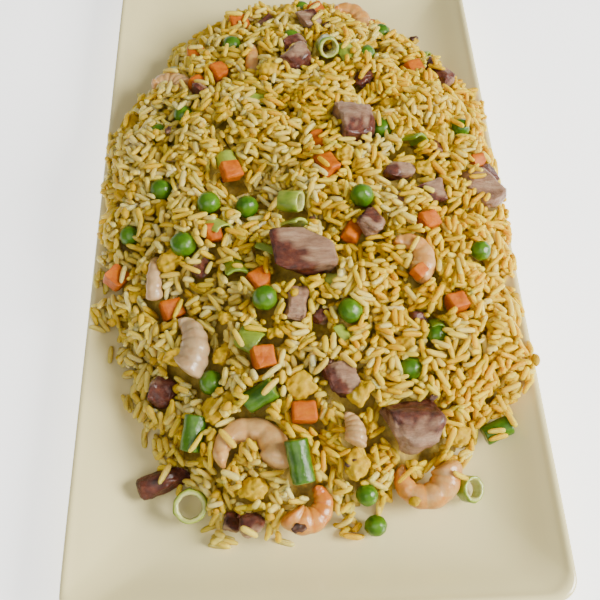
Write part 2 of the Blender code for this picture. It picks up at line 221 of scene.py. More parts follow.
def ramp(material, source, output, stops):
    """A colour ramp fed by a value, with (position, colour) stops."""
    node = add_node(material, "ShaderNodeValToRGB")
    join(material, source, output, node, "Fac")
    elements = node.color_ramp.elements
    while len(elements) < len(stops):
        elements.new(0.5)
    for element, (position, colour) in zip(elements, stops):
        element.position = position
        element.color = (*colour[:3], 1.0)
    return node


def blend_colours(material, factor, first, second, mode="MIX"):
    """Mix two colour nodes by a value node."""
    mix = add_node(material, "ShaderNodeMix", data_type="RGBA", blend_type=mode)
    mix.inputs[0].default_value = 1.0
    if factor is not None:
        material.node_tree.links.new(factor.outputs["Fac"], mix.inputs[0])
    material.node_tree.links.new(first.outputs[0], mix.inputs[6])
    material.node_tree.links.new(second.outputs[0], mix.inputs[7])
    return mix


def colour_from(material, node, output=0):
    """Feed the shader's base colour."""
    material.node_tree.links.new(node.outputs[output], shader_of(material).inputs["Base Color"])


def mix_colour_from(material, mix):
    """Feed the base colour from a Mix node's colour output."""
    colour_from(material, mix, 2)


def add_bump(material, field, distance):
    """Relief from a value node, with its depth in metres."""
    bump = add_node(material, "ShaderNodeBump", Strength=1.0, Distance=distance)
    join(material, field, 0, bump, "Height")
    join(material, bump, "Normal", shader_of(material), "Normal")


def attribute(material, name):
    """A value painted on the mesh."""
    return add_node(material, "ShaderNodeAttribute", attribute_name=name)


def porcelain_material(colour):
    """Cream glaze with the faintest mottling and a clear gloss."""
    made = principled("glazed_porcelain", Roughness=0.16, IOR=1.52, Coat_Weight=0.35, Coat_Roughness=0.06)
    field = noise_field(made, 38.0, 3.0)
    warm = tuple(channel * 0.985 for channel in colour)
    shade = ramp(made, field, "Fac", [(0.35, warm), (0.65, colour)])
    colour_from(made, shade)
    add_bump(made, noise_field(made, 55.0, 2.0), 0.00006)
    return made


def grain_material(name, pale, middle, deep):
    """Cooked rice: soft, slightly clear grains whose tint is painted grain by grain."""
    made = principled(name, Roughness=0.45, IOR=1.32, Subsurface_Weight=0.85, Subsurface_Scale=0.006,
                      Specular_IOR_Level=0.3)
    shader_of(made).inputs["Subsurface Radius"].default_value = (1.0, 0.8, 0.25)
    tint = attribute(made, "tint")
    base = ramp(made, tint, "Fac", [(0.0, pale), (0.5, middle), (1.0, deep)])
    coat = noise_field(made, 420.0, 3.0)
    oil = ramp(made, coat, "Fac", [(0.38, (0.92, 0.86, 0.70)), (0.6, (1.0, 1.0, 1.0))])
    mix_colour_from(made, blend_colours(made, None, base, oil, mode="MULTIPLY"))
    add_bump(made, noise_field(made, 1500.0, 3.0), 0.00012)
    return made


def core_material(colour):
    """Painted shade: the rice below the loose grains, coloured as dark as the shade between them, darker
    still in random patches.
    """
    made = principled("packed_rice", Roughness=0.6)
    field = noise_field(made, 300.0, 5.0)
    dark = tuple(channel * 0.5 for channel in colour)
    colour_from(made, ramp(made, field, "Fac", [(0.35, dark), (0.65, colour)]))
    add_bump(made, noise_field(made, 700.0, 4.0), 0.0006)
    return made


def shrimp_material():
    """Cooked shrimp: milky flesh, orange bands and back, a moist skin."""
    made = principled("cooked_shrimp", Roughness=0.3, IOR=1.42, Subsurface_Weight=0.4,
                      Subsurface_Scale=0.0035, Coat_Weight=0.35, Coat_Roughness=0.15)
    shader_of(made).inputs["Subsurface Radius"].default_value = (1.0, 0.55, 0.35)
    tone = attribute(made, "tone")
    shade = ramp(made, tone, "Fac", [(0.0, (0.48, 0.33, 0.17)), (0.25, (0.62, 0.38, 0.14)),
                                     (0.6, (0.60, 0.25, 0.03)), (1.0, (0.50, 0.12, 0.0))])
    mottle = ramp(made, noise_field(made, 330.0, 5.0), "Fac",
                  [(0.3, (0.82, 0.74, 0.66)), (0.62, (1.0, 1.0, 1.0))])
    mix_colour_from(made, blend_colours(made, None, shade, mottle, mode="MULTIPLY"))
    add_bump(made, noise_field(made, 900.0, 4.0), 0.0002)
    return made


def pork_material():
    """Roast pork: mauve-grey fibres inside, a red-brown glazed outside."""
    made = principled("roast_pork", Roughness=0.42, IOR=1.42, Subsurface_Weight=0.12,
                      Subsurface_Scale=0.0015, Coat_Weight=0.3, Coat_Roughness=0.22)
    fibres = noise_field(made, 260.0, 6.0, 0.7, (0.35, 1.4, 1.4))
    meat = ramp(made, fibres, "Fac", [(0.3, (0.17, 0.08, 0.042)), (0.5, (0.33, 0.185, 0.105)),
                                      (0.7, (0.50, 0.33, 0.20))])
    bark_field = noise_field(made, 420.0, 5.0)
    bark = ramp(made, bark_field, "Fac", [(0.3, (0.035, 0.006, 0.002)), (0.55, (0.12, 0.024, 0.009)),
                                          (0.75, (0.24, 0.07, 0.025))])
    mix_colour_from(made, blend_colours(made, attribute(made, "crust"), meat, bark))
    add_bump(made, noise_field(made, 800.0, 6.0, 0.75, (0.5, 1.3, 1.3)), 0.0010)
    return made


def skin_material(name, dark, light, pulp, bump=0.00015):
    """Green vegetable skin with a paler cut face where the attribute cut is painted."""
    made = principled(name, Roughness=0.3, IOR=1.4, Subsurface_Weight=0.25, Subsurface_Scale=0.0022,
                      Coat_Weight=0.2, Coat_Roughness=0.3)
    shader_of(made).inputs["Subsurface Radius"].default_value = (0.5, 1.0, 0.25)
    field = noise_field(made, 240.0, 4.0)
    skin = ramp(made, field, "Fac", [(0.35, dark), (0.65, light)])
    inside = ramp(made, noise_field(made, 900.0, 3.0), "Fac",
                  [(0.35, tuple(channel * 0.75 for channel in pulp)), (0.65, pulp)])
    mix_colour_from(made, blend_colours(made, attribute(made, "cut"), skin, inside))
    add_bump(made, noise_field(made, 650.0, 3.0), bump)
    return made


def carrot_material():
    """Cut carrot: deep orange with paler fibres and a wet face."""
    made = principled("diced_carrot", Roughness=0.45, IOR=1.3, Subsurface_Weight=0.2,
                      Subsurface_Scale=0.002)
    shader_of(made).inputs["Subsurface Radius"].default_value = (1.0, 0.35, 0.1)
    fibres = noise_field(made, 420.0, 5.0, 0.65, (0.4, 1.0, 1.0))
    colour_from(made, ramp(made, fibres, "Fac", [(0.3, (0.34, 0.065, 0.0)), (0.52, (0.46, 0.105, 0.0)),
                                                 (0.72, (0.52, 0.15, 0.0))]))
    add_bump(made, noise_field(made, 1100.0, 4.0), 0.00025)
    return made


def egg_material():
    """Scrambled egg: bright yolk patches in paler, softer curd."""
    made = principled("egg_curd", Roughness=0.5, IOR=1.33, Subsurface_Weight=0.3, Subsurface_Scale=0.002)
    shader_of(made).inputs["Subsurface Radius"].default_value = (1.0, 0.7, 0.2)
    field = noise_field(made, 190.0, 4.0)
    colour_from(made, ramp(made, field, "Fac", [(0.30, (0.66, 0.52, 0.13)), (0.38, (0.52, 0.34, 0.0)),
                                                (0.7, (0.47, 0.27, 0.0))]))
    add_bump(made, noise_field(made, 700.0, 5.0), 0.0004)
    return made


def scallion_material():
    """Scallion and celery: pale, wet rings that turn green outwards."""
    made = principled("scallion_slice", Roughness=0.28, IOR=1.42, Subsurface_Weight=0.35,
                      Subsurface_Scale=0.002, Coat_Weight=0.4, Coat_Roughness=0.15)
    shader_of(made).inputs["Subsurface Radius"].default_value = (0.7, 1.0, 0.3)
    tone = attribute(made, "tone")
    shade = ramp(made, tone, "Fac", [(0.0, (0.56, 0.56, 0.20)), (0.45, (0.34, 0.42, 0.05)),
                                     (1.0, (0.10, 0.20, 0.008))])
    streak = ramp(made, noise_field(made, 600.0, 3.0, 0.6, (0.3, 1.0, 1.0)), "Fac",
                  [(0.35, (0.80, 0.82, 0.66)), (0.6, (1.0, 1.0, 1.0))])
    mix_colour_from(made, blend_colours(made, None, shade, streak, mode="MULTIPLY"))
    add_bump(made, noise_field(made, 900.0, 3.0), 0.0002)
    return made


def burnt_material():
    """Toasted crumbs: nearly black with brown edges."""
    made = principled("toasted_crumb", Roughness=0.55, Coat_Weight=0.15, Coat_Roughness=0.3)
    field = noise_field(made, 500.0, 4.0)
    colour_from(made, ramp(made, field, "Fac", [(0.35, (0.02, 0.008, 0.004)), (0.6, (0.10, 0.035, 0.012)),
                                                (0.8, (0.30, 0.13, 0.03))]))
    add_bump(made, noise_field(made, 900.0, 4.0), 0.0003)
    return made


# ---------------------------------------------------------------- mesh helpers

def paint(mesh, name, values):
    """Store one value a vertex under a name that a material can read."""
    layer = mesh.attributes.new(name, "FLOAT", "POINT")
    layer.data.foreach_set("value", np.asarray(values, np.float32))


def finish_piece(mesh, name, material, replaced=()):
    """Make a piece of the object from a mesh that is already in place."""
    mesh.materials.append(material)
    mesh.shade_smooth()
    piece = bpy.data.objects.new(name, mesh)
    bpy.context.scene.collection.objects.link(piece)
    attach(piece, BODY)
    if replaced:
        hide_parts(*replaced)
    return piece


def mesh_from(bm, name):
    """Turn a bmesh into a mesh with its faces pointing outwards."""
    bmesh.ops.recalc_face_normals(bm, faces=bm.faces)
    mesh = bpy.data.meshes.new(name)
    bm.to_mesh(mesh)
    bm.free()
    return mesh


def merged_copy(node):
    """A copy of a CAD node whose loose triangles are merged into one skin."""
    bm = bmesh.new()
    bm.from_mesh(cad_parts[node].data)
    bmesh.ops.remove_doubles(bm, verts=bm.verts, dist=0.01 * MM)
    return bm


def refine(bm, times):
    """Split every edge in two, a number of times."""
    for _ in range(times):
        bmesh.ops.subdivide_edges(bm, edges=bm.edges[:], cuts=1, use_grid_fill=True)


def soften(bm, times, factor=0.5):
    """Even out a skin."""
    for _ in range(times):
        bmesh.ops.smooth_vert(bm, verts=bm.verts, factor=factor, use_axis_x=True, use_axis_y=True,
                              use_axis_z=True)


def shrink(bm, share):
    """Scale a skin about the middle of its points."""
    middle = sum((vert.co for vert in bm.verts), Vector()) / len(bm.verts)
    for vert in bm.verts:
        vert.co = middle.lerp(vert.co, share)


def roughen(bm, size, depth, seed, detail=2):
    """Push a skin in and out by noise of one size."""
    bm.normal_update()
    shift = Vector((seed * 3.7, seed * 1.3, seed * 2.1))
    moves = [vert.normal * depth * noise.fractal(vert.co / size + shift, 0.9, 2.0, detail)
             for vert in bm.verts]
    for vert, move in zip(bm.verts, moves):
        vert.co += move


def loft(bm, sections, sides):
    """Join rings, each a circle of radius one under its own matrix, into one closed skin."""
    loops = []
    for place in sections:
        ring = bmesh.ops.create_circle(bm, cap_ends=False, segments=sides, radius=1.0, matrix=place)
        loops.append(list({edge for vert in ring["verts"] for edge in vert.link_edges}))
    for lower, upper in zip(loops, loops[1:]):
        bmesh.ops.bridge_loops(bm, edges=lower + upper)
    for end in (loops[0], loops[-1]):
        bmesh.ops.holes_fill(bm, edges=end, sides=0)
    return bm


def nodes_of(kind):
    """The CAD nodes of one kind of topping, in order."""
    return sorted(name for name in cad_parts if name.startswith(kind + "_"))


def box_centre(node):
    """Middle of a CAD node's box."""
    low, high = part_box(node)
    return (low + high) / 2


def long_axis(node):
    """Direction in which a CAD node is longest."""
    points = np.array([vert.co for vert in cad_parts[node].data.vertices])
    points -= points.mean(0)
    return Vector(np.linalg.eigh(points.T @ points)[1][:, -1])


# ---------------------------------------------------------------- relief of the heap

class Relief:
    """Heights over the plate on a fine grid: how high the rice may reach, and what lies there now."""

    def __init__(self, step):
        low, high = CAD_BOX
        self.step = step
        self.low = np.array([low.x, low.y])
        self.size = np.ceil((np.array([high.x, high.y]) - self.low) / step).astype(int) + 1
        self.top = np.zeros(self.size)
        self.taken = np.zeros(self.size)
        self.goal = np.full(self.size, -1.0)

    def cell(self, x, y):
        """Grid cell of a point or of arrays of points."""
        i = np.clip(((x - self.low[0]) / self.step).astype(int), 0, self.size[0] - 1)
        j = np.clip(((y - self.low[1]) / self.step).astype(int), 0, self.size[1] - 1)
        return i, j

    def scan(self, tree, low, high):
        """Heights of a surface seen from above, between two corners; nan where it isn't."""
        first = np.maximum(((np.array([low.x, low.y]) - self.low) / self.step).astype(int) - 1, 0)
        last = np.minimum(((np.array([high.x, high.y]) - self.low) / self.step).astype(int) + 2, self.size)
        heights = np.full(last - first, np.nan)
        down = Vector((0, 0, -1))
        start = high.z + 0.01
        for i in range(first[0], last[0]):
            x = self.low[0] + (i + 0.5) * self.step
            for j in range(first[1], last[1]):
                y = self.low[1] + (j + 0.5) * self.step
                hit = tree.ray_cast(Vector((x, y, start)), down)[0]
                if hit is not None:
                    heights[i - first[0], j - first[1]] = hit.z
        return (slice(first[0], last[0]), slice(first[1], last[1])), heights

    def lay(self, piece, guard):
        """Add a piece to what lies on the plate; a higher guard keeps more grains off it."""
        graph = bpy.context.evaluated_depsgraph_get()
        tree = BVHTree.FromObject(piece, graph)
        corners = [Vector(corner) for corner in piece.bound_box]
        low = Vector([min(corner[axis] for corner in corners) for axis in range(3)])
        high = Vector([max(corner[axis] for corner in corners) for axis in range(3)])
        window, heights = self.scan(tree, low, high)
        raised = np.nan_to_num(heights, nan=-1.0) > self.top[window]
        self.top[window] = np.where(raised, heights, self.top[window])
        self.taken[window] = np.where(raised, guard, self.taken[window])

    def read_goal(self):
        """The CAD heap's surface, closed over the pockets cut for its toppings."""
        low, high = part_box("rice_heap")
        bm = merged_copy("rice_heap")
        window, heights = self.scan(BVHTree.FromBMesh(bm), low, high)
        bm.free()
        goal = np.full(self.size, np.nan)
        goal[window] = heights
        inside = ~np.isnan(goal)
        unknown = np.zeros(self.size, bool)
        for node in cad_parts:
            if node in ("rice_heap", "plate"):
                continue
            low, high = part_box(node)
            i, j = self.cell(np.array([low.x, high.x]), np.array([low.y, high.y]))
            unknown[i[0] - 1:i[1] + 2, j[0] - 1:j[1] + 2] = True
        unknown &= inside
        turns = [(shift, axis) for shift in (-1, 1) for axis in (0, 1)]
        known = inside & ~unknown
        filled = np.where(known, goal, 0.0)
        while (unknown & ~known).any():
            count = sum(np.roll(known, *turn).astype(float) for turn in turns)
            total = sum(np.roll(np.where(known, filled, 0.0), *turn) for turn in turns)
            fresh = ~known & (count > 0) & inside
            if not fresh.any():
                break
            filled[fresh] = total[fresh] / count[fresh]
            known |= fresh
        for _ in range(120):
            mean = sum(np.roll(filled, *turn) for turn in turns) / 4
            filled[unknown] = np.where(inside, mean, filled)[unknown]
        self.goal = np.where(inside, filled, -1.0)

    def pattern(self, size, layer):
        """A noise field over the grid, with bumps of the given size."""
        steps = [range(count) for count in self.size]
        return np.array([[noise.noise(Vector((i * self.step, j * self.step, layer)) / size)
                          for j in steps[1]] for i in steps[0]])

    def crease(self, size, depth):
        """Raise clumps of rice and cut hollows between them."""
        fold = self.pattern(size, 0.5)
        cut = depth * np.clip(1.0 - np.abs(fold) / 0.28, 0.0, 1.0) ** 1.5
        lift = 0.5 * depth * self.pattern(1.6 * size, 1.5)
        self.goal = np.where(self.goal > 0, self.goal - cut + lift, -1.0)

    def fringe(self, size, height):
        """Let clumps of rice spread past the heap's even outline in places."""
        near = (self.goal > 0).astype(float)
        reach = int(6 * MM / self.step)
        for axis in (0, 1):
            near = sum(np.roll(near, shift, axis) for shift in range(-reach, reach + 1)) / (2 * reach + 1)
        bunch = self.pattern(size, 2.5)
        spread = self.top + height * np.clip(bunch + 0.1, 0.0, 0.5) * 2 * near
        spread = np.where((self.goal < 0) & (near > 0.12) & (self.top > 0), spread, -1.0)
        self.goal = np.maximum(self.goal, spread)

    def goal_at(self, x, y):
        """Height of the heap's surface at a point."""
        i, j = self.cell(np.array([x]), np.array([y]))
        return float(max(self.goal[i[0], j[0]], self.top[i[0], j[0]]))


RELIEF = Relief(0.5 * MM)


# ---------------------------------------------------------------- plate and core

def rounded_rectangle(inset):
    """Points of the plate's outline moved inwards, with steps along its sides and corners."""
    low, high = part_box("plate")
    radius = PLATE_CORNER + PLATE_CORNER_GROWTH * inset
    half = [(high[axis] - low[axis]) / 2 - inset - radius for axis in (0, 1)]
    points = []
    for corner, (side_x, side_y) in enumerate([(1, 1), (-1, 1), (-1, -1), (1, -1)]):
        for step in range(PLATE_CORNER_STEPS + 1):
            angle = math.pi / 2 * (corner + step / PLATE_CORNER_STEPS)
            points.append(Vector((side_x * half[0] + radius * math.cos(angle),
                                  side_y * half[1] + radius * math.sin(angle), 0)))
        end = points[-1]
        following = [(-1, 1), (-1, -1), (1, -1), (1, 1)][corner]
        turn = math.pi / 2 * (corner + 1)
        start = Vector((following[0] * half[0] + radius * math.cos(turn),
                        following[1] * half[1] + radius * math.sin(turn), 0))
        for step in range(1, PLATE_SIDE_STEPS):
            points.append(end.lerp(start, step / PLATE_SIDE_STEPS))
    return points


def build_plate(material):
    """The porcelain plate: foot ring, flared side, rounded lip and soft well."""
    bm = bmesh.new()
    loops = []
    for inset, height in PLATE_PROFILE:
        verts = [bm.verts.new(point + Vector((0, 0, height * MM))) for point in rounded_rectangle(inset * MM)]
        loops.append([bm.edges.new((verts[i - 1], verts[i])) for i in range(len(verts))])
    for lower, upper in zip(loops, loops[1:]):
        bmesh.ops.bridge_loops(bm, edges=lower + upper)
    for end in (loops[0], loops[-1]):
        bmesh.ops.holes_fill(bm, edges=end, sides=0)
    plate = finish_piece(mesh_from(bm, "porcelain_plate"), "porcelain_plate", material,
                         ["plate"])
    rounding = plate.modifiers.new("rounding", "SUBSURF")
    rounding.levels = 2
    rounding.render_levels = 2
    return plate


def build_core(material, depth):
    """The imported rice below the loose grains: the heap's own surface, lowered."""
    low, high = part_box("rice_heap")
    bm = bmesh.new()
    across = int((high.x - low.x) / CORE_CELL)
    along = int((high.y - low.y) / CORE_CELL)
    bmesh.ops.create_grid(bm, x_segments=across, y_segments=along, size=0.5)
    middle = (low + high) / 2
    bmesh.ops.scale(bm, vec=(high.x - low.x, high.y - low.y, 1), verts=bm.verts)
    bmesh.ops.translate(bm, vec=(middle.x, middle.y, 0), verts=bm.verts)
    i, j = RELIEF.cell(np.array([vert.co.x for vert in bm.verts]), np.array([vert.co.y for vert in bm.verts]))
    goal = RELIEF.goal[i, j]
    floor = RELIEF.top[i, j]
    shown = goal - depth > floor + 1.5 * MM
    for vert, height, base in zip(bm.verts, goal - depth, floor):
        lump = CORE_LUMP * noise.fractal(vert.co / (5 * MM), 0.8, 2.0, 3)
        vert.co.z = max(height + lump, base + 0.4 * MM)
    spare = [vert for vert, keep in zip(bm.verts, shown) if not keep]
    bmesh.ops.delete(bm, geom=spare, context="VERTS")
    loose = [vert for vert in bm.verts if not vert.link_faces]
    bmesh.ops.delete(bm, geom=loose, context="VERTS")
    rim = [edge for edge in bm.edges if edge.is_boundary]
    skirt = bmesh.ops.extrude_edge_only(bm, edges=rim)["geom"]
    for vert in skirt:
        if isinstance(vert, bmesh.types.BMVert):
            i, j = RELIEF.cell(np.array([vert.co.x]), np.array([vert.co.y]))
            vert.co.z = RELIEF.top[i[0], j[0]] + 0.05 * MM
    under = [edge for edge in bm.edges if edge.is_boundary]
    bmesh.ops.holes_fill(bm, edges=under, sides=0)
    return finish_piece(mesh_from(bm, "rice_core"), "rice_core", material, ["rice_heap"])


# ---------------------------------------------------------------- toppings

def shrimp_mesh(curl, bend, size, orange, seed):
    """A peeled, curled shrimp: five shell segments, a groove down its back and a two-lobed tail."""
    rings, sides = 46, 18
    radius = SHRIMP_THICKNESS * size / 2 * (1.0 + 0.22 * orange)
    sections, alongs = [], []
    for ring in range(rings + 1):
        along = ring / rings
        angle = math.radians(curl) * (along - 0.5)
        thick = radius * (1.0 - 0.6 * along ** 1.6)
        blunt = min(1.0, along / 0.07)
        thick *= math.sqrt(max(0.05, 1.0 - (1.0 - blunt) ** 2))
        segment = (along * 6.0) % 1.0
        thick *= 0.94 + 0.09 * math.sin(math.pi * min(1.0, segment * 1.15)) ** 0.7
        fan = max(0.0, (along - 0.88) / 0.12)
        wide = thick * (1.0 - 0.6 * fan)
        tall = thick * (1.05 + 0.75 * fan ** 0.7)
        reach = bend * MM * (1.0 - 0.18 * along)
        centre = Vector((reach * math.cos(angle), reach * math.sin(angle), 0))
        turn = Matrix.Rotation(angle, 4, "Z") @ Matrix.Rotation(math.pi / 2, 4, "X")
        sections.append(Matrix.Translation(centre) @ turn @ Matrix.Diagonal((wide, tall, 1, 1)))
        alongs.append(along)
    bm = loft(bmesh.new(), sections, sides)
    bm.verts.ensure_lookup_table()
    tones = []
    for index, vert in enumerate(bm.verts):
        ring, side = divmod(index, sides)
        along = alongs[ring]
        around = 2 * math.pi * side / sides
        outward = math.cos(around)
        centre = sections[ring].translation
        if outward > 0.9 and 0.05 < along < 0.85:
            vert.co = vert.co.lerp(centre, 0.10)
        if along > 0.93 and abs(math.sin(around)) < 0.35:
            vert.co = vert.co.lerp(centre, 0.15)
        edge = math.exp(-((((along * 6.0) % 1.0) - 0.02) / 0.13) ** 2)
        blotch = 0.5 + 0.5 * noise.noise(vert.co / (3 * MM) + Vector((seed, 0, 0)))
        tone = orange * (0.50 + 0.16 * outward + 0.22 * edge + 0.35 * along ** 2 + 0.5 * (blotch - 0.5))
        tones.append(min(1.0, max(0.0, tone)))
    roughen(bm, 2.2 * MM, 0.25 * MM, seed)
    return bm, tones


def place_like(mesh, node, turns):
    """Turn a mesh and set its box's middle on a CAD node's."""
    mesh.transform(Euler([math.radians(turn) for turn in turns]).to_matrix().to_4x4())
    points = np.array([vert.co for vert in mesh.vertices])
    middle = Vector((points.min(0) + points.max(0)) / 2)
    mesh.transform(Matrix.Translation(box_centre(node) - middle))


def build_shrimp(material):
    """Every shrimp of the frame."""
    pieces = []
    for seed, (node, row) in enumerate(zip(nodes_of("shrimp"), SHRIMP_SHAPES), 1):
        heading, roll, pitch, curl, bend, size, orange = row
        bm, tones = shrimp_mesh(curl, bend, size, orange, seed)
        mesh = mesh_from(bm, f"cooked_{node}")
        paint(mesh, "tone", tones)
        place_like(mesh, node, (roll, pitch, heading))
        piece = finish_piece(mesh, mesh.name, material, [node])
        rounding = piece.modifiers.new("rounding", "SUBSURF")
        rounding.levels = 1
        rounding.render_levels = 1
        pieces.append(piece)
    return pieces


def crust_values(bm, seed, share):
    """How much of each point is roasted outside: one side of the chunk, with a ragged edge."""
    rng = np.random.default_rng(seed)
    side = Vector(rng.normal(size=3) + np.array([0, 0, 0.4])).normalized()
    reach = [vert.co.dot(side) for vert in bm.verts]
    low, high = min(reach), max(reach)
    edge = high - (high - low) * share
    ragged = [0.25 * (high - low) * noise.noise(vert.co / (3 * MM)) for vert in bm.verts]
    return [min(1.0, max(0.0, (value + shift - edge) / (0.08 * (high - low)) + 0.5))
            for value, shift in zip(reach, ragged)]


def chip(bm, seed, count, keep):
    """Slice flat facets off a chunk's corners, pulling what stands out back to each cut."""
    rng = np.random.default_rng(seed)
    points = np.array([vert.co for vert in bm.verts])
    middle = (points.min(0) + points.max(0)) / 2
    for _ in range(count):
        facing = rng.normal(size=3)
        facing /= np.linalg.norm(facing)
        reach = (points - middle) @ facing
        cut = rng.uniform(keep, 0.9) * reach.max()
        points -= np.maximum(reach - cut, 0.0)[:, None] * facing
    for vert, point in zip(bm.verts, points):
        vert.co = point


def pork_skin(bm, seed, share):
    """Give a chunk torn fibres and a roasted side."""
    chip(bm, seed, 7, 0.5)
    soften(bm, 2, 0.4)
    roughen(bm, 8 * MM, 1.0 * MM, seed)
    roughen(bm, 1.5 * MM, 0.45 * MM, seed + 40, 3)
    return crust_values(bm, seed, share)


def frame_pork(node, seed):
    """A pork chunk of the frame; the two strips are nearly all crust."""
    bm = merged_copy(node)
    refine(bm, 3)
    share = settings().crust_share * (0.6 + 0.8 * (seed * 0.37 % 1))
    return bm, pork_skin(bm, seed, STRIP_CRUST if node in PORK_STRIPS else share)


def pea_bm(centre, radii, seed):
    """A pea: a ball with a shallow dimple and faint wrinkles."""
    bm = bmesh.new()
    bmesh.ops.create_icosphere(bm, subdivisions=4, radius=1.0)
    spot = Vector(np.random.default_rng(seed).normal(size=3)).normalized()
    for vert in bm.verts:
        near = max(0.0, vert.co.dot(spot) - 0.6) / 0.4
        crinkle = noise.fractal(vert.co * 2.2 + Vector((seed, 0, 0)), 0.9, 2.0, 3)
        vert.co *= 0.97 - 0.14 * near ** 2 + 0.05 * crinkle
    bmesh.ops.scale(bm, vec=radii, verts=bm.verts)
    bmesh.ops.translate(bm, vec=centre, verts=bm.verts)
    return bm


def frame_pea(node, seed):
    """A pea of the frame, with no cut face."""
    low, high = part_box(node)
    bm = pea_bm((low + high) / 2, (high - low) / 2, seed)
    return bm, np.zeros(len(bm.verts))


def bean_bm(centre, axis, length, radius, seed):
    """A length of green bean: a waisted tube with rounded edges and recessed, paler ends."""
    outline = [(0.5, 0.0), (0.49, 0.55), (0.5, 0.86), (0.485, 0.97), (0.45, 1.0), (0.3, 1.0), (0.1, 0.98)]
    stations = [(-x, share) for x, share in outline] + [(x, share) for x, share in reversed(outline)]
    facing = axis.to_track_quat("Z", "Y").to_matrix().to_4x4()
    sections = [Matrix.Translation(centre) @ facing @ Matrix.Translation((0, 0, x * length))
                @ Matrix.Diagonal((radius * max(share, 0.04), 0.93 * radius * max(share, 0.04), 1, 1))
                for x, share in stations]
    bm = loft(bmesh.new(), sections, 28)
    refine(bm, 1)
    roughen(bm, 3 * MM, 0.22 * MM, seed)
    cut = []
    for vert in bm.verts:
        away = vert.co - centre
        along = abs(away.dot(axis)) / (length / 2)
        out = (away - axis * away.dot(axis)).length / radius
        cut.append(min(1.0, max(0.0, (along - 0.93) * 20)) * min(1.0, max(0.0, (0.9 - out) * 12)))
    return bm, cut


def frame_bean(node, seed):
    """A cut bean of the frame, measured along its own axis."""
    points = np.array([vert.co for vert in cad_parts[node].data.vertices])
    axis = long_axis(node)
    reach = points @ np.array(axis)
    radius = np.linalg.norm(points - points.mean(0) - np.outer(reach - reach.mean(), axis), axis=1).max()
    return bean_bm(box_centre(node), axis, float(np.ptp(reach)), float(radius), seed)


def frame_carrot(node, seed):
    """A carrot dice of the frame."""
    bm = merged_copy(node)
    refine(bm, 3)
    shrink(bm, 0.84)
    chip(bm, seed + 200, 3, 0.7)
    soften(bm, 1, 0.3)
    roughen(bm, 2.5 * MM, 0.25 * MM, seed)
    return bm, None


def curd_skin(bm, seed, size):
    """Fold a blob into a ragged curd."""
    roughen(bm, 3.2 * MM * size, 1.5 * MM * size, seed)
    roughen(bm, 1.3 * MM, 0.45 * MM, seed + 9, 3)


def frame_egg(node, seed):
    """A large egg curd of the frame."""
    bm = merged_copy(node)
    refine(bm, 2)
    soften(bm, 2)
    curd_skin(bm, seed, 1.0)
    return bm, None


def tone_by_radius(bm, centre, axis):
    """Paler inside and greener outside, round a slice's own axis."""
    outs = []
    for vert in bm.verts:
        away = vert.co - centre
        outs.append((away - axis * away.dot(axis)).length)
    low, high = min(outs), max(outs)
    return [((out - low) / (high - low)) ** 2 for out in outs]


def frame_scallion(node, seed):
    """A scallion ring of the frame, toned round the axis in which it differs most."""
    bm = merged_copy(node)
    points = np.array([vert.co for vert in bm.verts])
    centre = Vector(points.mean(0))
    spread = np.linalg.eigh(np.cov((points - points.mean(0)).T))
    odd = 0 if abs(spread[0][1] - spread[0][0]) > abs(spread[0][2] - spread[0][1]) else 2
    axis = Vector(spread[1][:, odd])
    refine(bm, 2)
    soften(bm, 2, 0.4)
    roughen(bm, 4 * MM, 0.5 * MM, seed)
    return bm, tone_by_radius(bm, centre, axis)


def build_kind(kind, prefix, make, material, painted=None):
    """Every piece of one kind in the frame; what make gives beside the skin is painted on."""
    pieces = []
    for seed, node in enumerate(nodes_of(kind), 1):
        bm, values = make(node, seed)
        mesh = mesh_from(bm, f"{prefix}_{node}")
        if painted:
            paint(mesh, painted, values)
        pieces.append(finish_piece(mesh, mesh.name, material, [node]))
    return pieces


# ---------------------------------------------------------------- further toppings

def join_meshes(meshes, name):
    """One mesh from several that are already in place; painted values go along."""
    pieces = [bpy.data.objects.new(f"part_{index}", mesh) for index, mesh in enumerate(meshes)]
    for piece in pieces:
        bpy.context.scene.collection.objects.link(piece)
    with bpy.context.temp_override(active_object=pieces[0], object=pieces[0],
                                   selected_objects=pieces, selected_editable_objects=pieces):
        bpy.ops.object.join()
    joined = pieces[0].data.copy()
    joined.name = name
    bpy.data.objects.remove(pieces[0])
    return joined


def scatter(rows, make, name, material, attributes=()):
    """Build a row of like pieces on the heap's surface as one joined mesh."""
    meshes = []
    for seed, (x, y, size, heading) in enumerate(rows, 1):
        place = Vector((x * MM, y * MM, RELIEF.goal_at(x * MM, y * MM) - 1.0 * MM))
        bm, values = make(place, size, math.radians(heading), seed)
        mesh = mesh_from(bm, f"{name}_{seed}")
        for attribute_name, value in zip(attributes, values):
            paint(mesh, attribute_name, value)
        meshes.append(mesh)
    return finish_piece(join_meshes(meshes, name), name, material)


def more_pea(place, size, heading, seed):
    """A loose pea, sunk a little in the rice."""
    radius = 4.6 * MM * size
    bm = pea_bm(place + Vector((0, 0, 0.1 * radius)), (radius, radius, 0.94 * radius), 30 + seed)
    return bm, [np.zeros(len(bm.verts))]


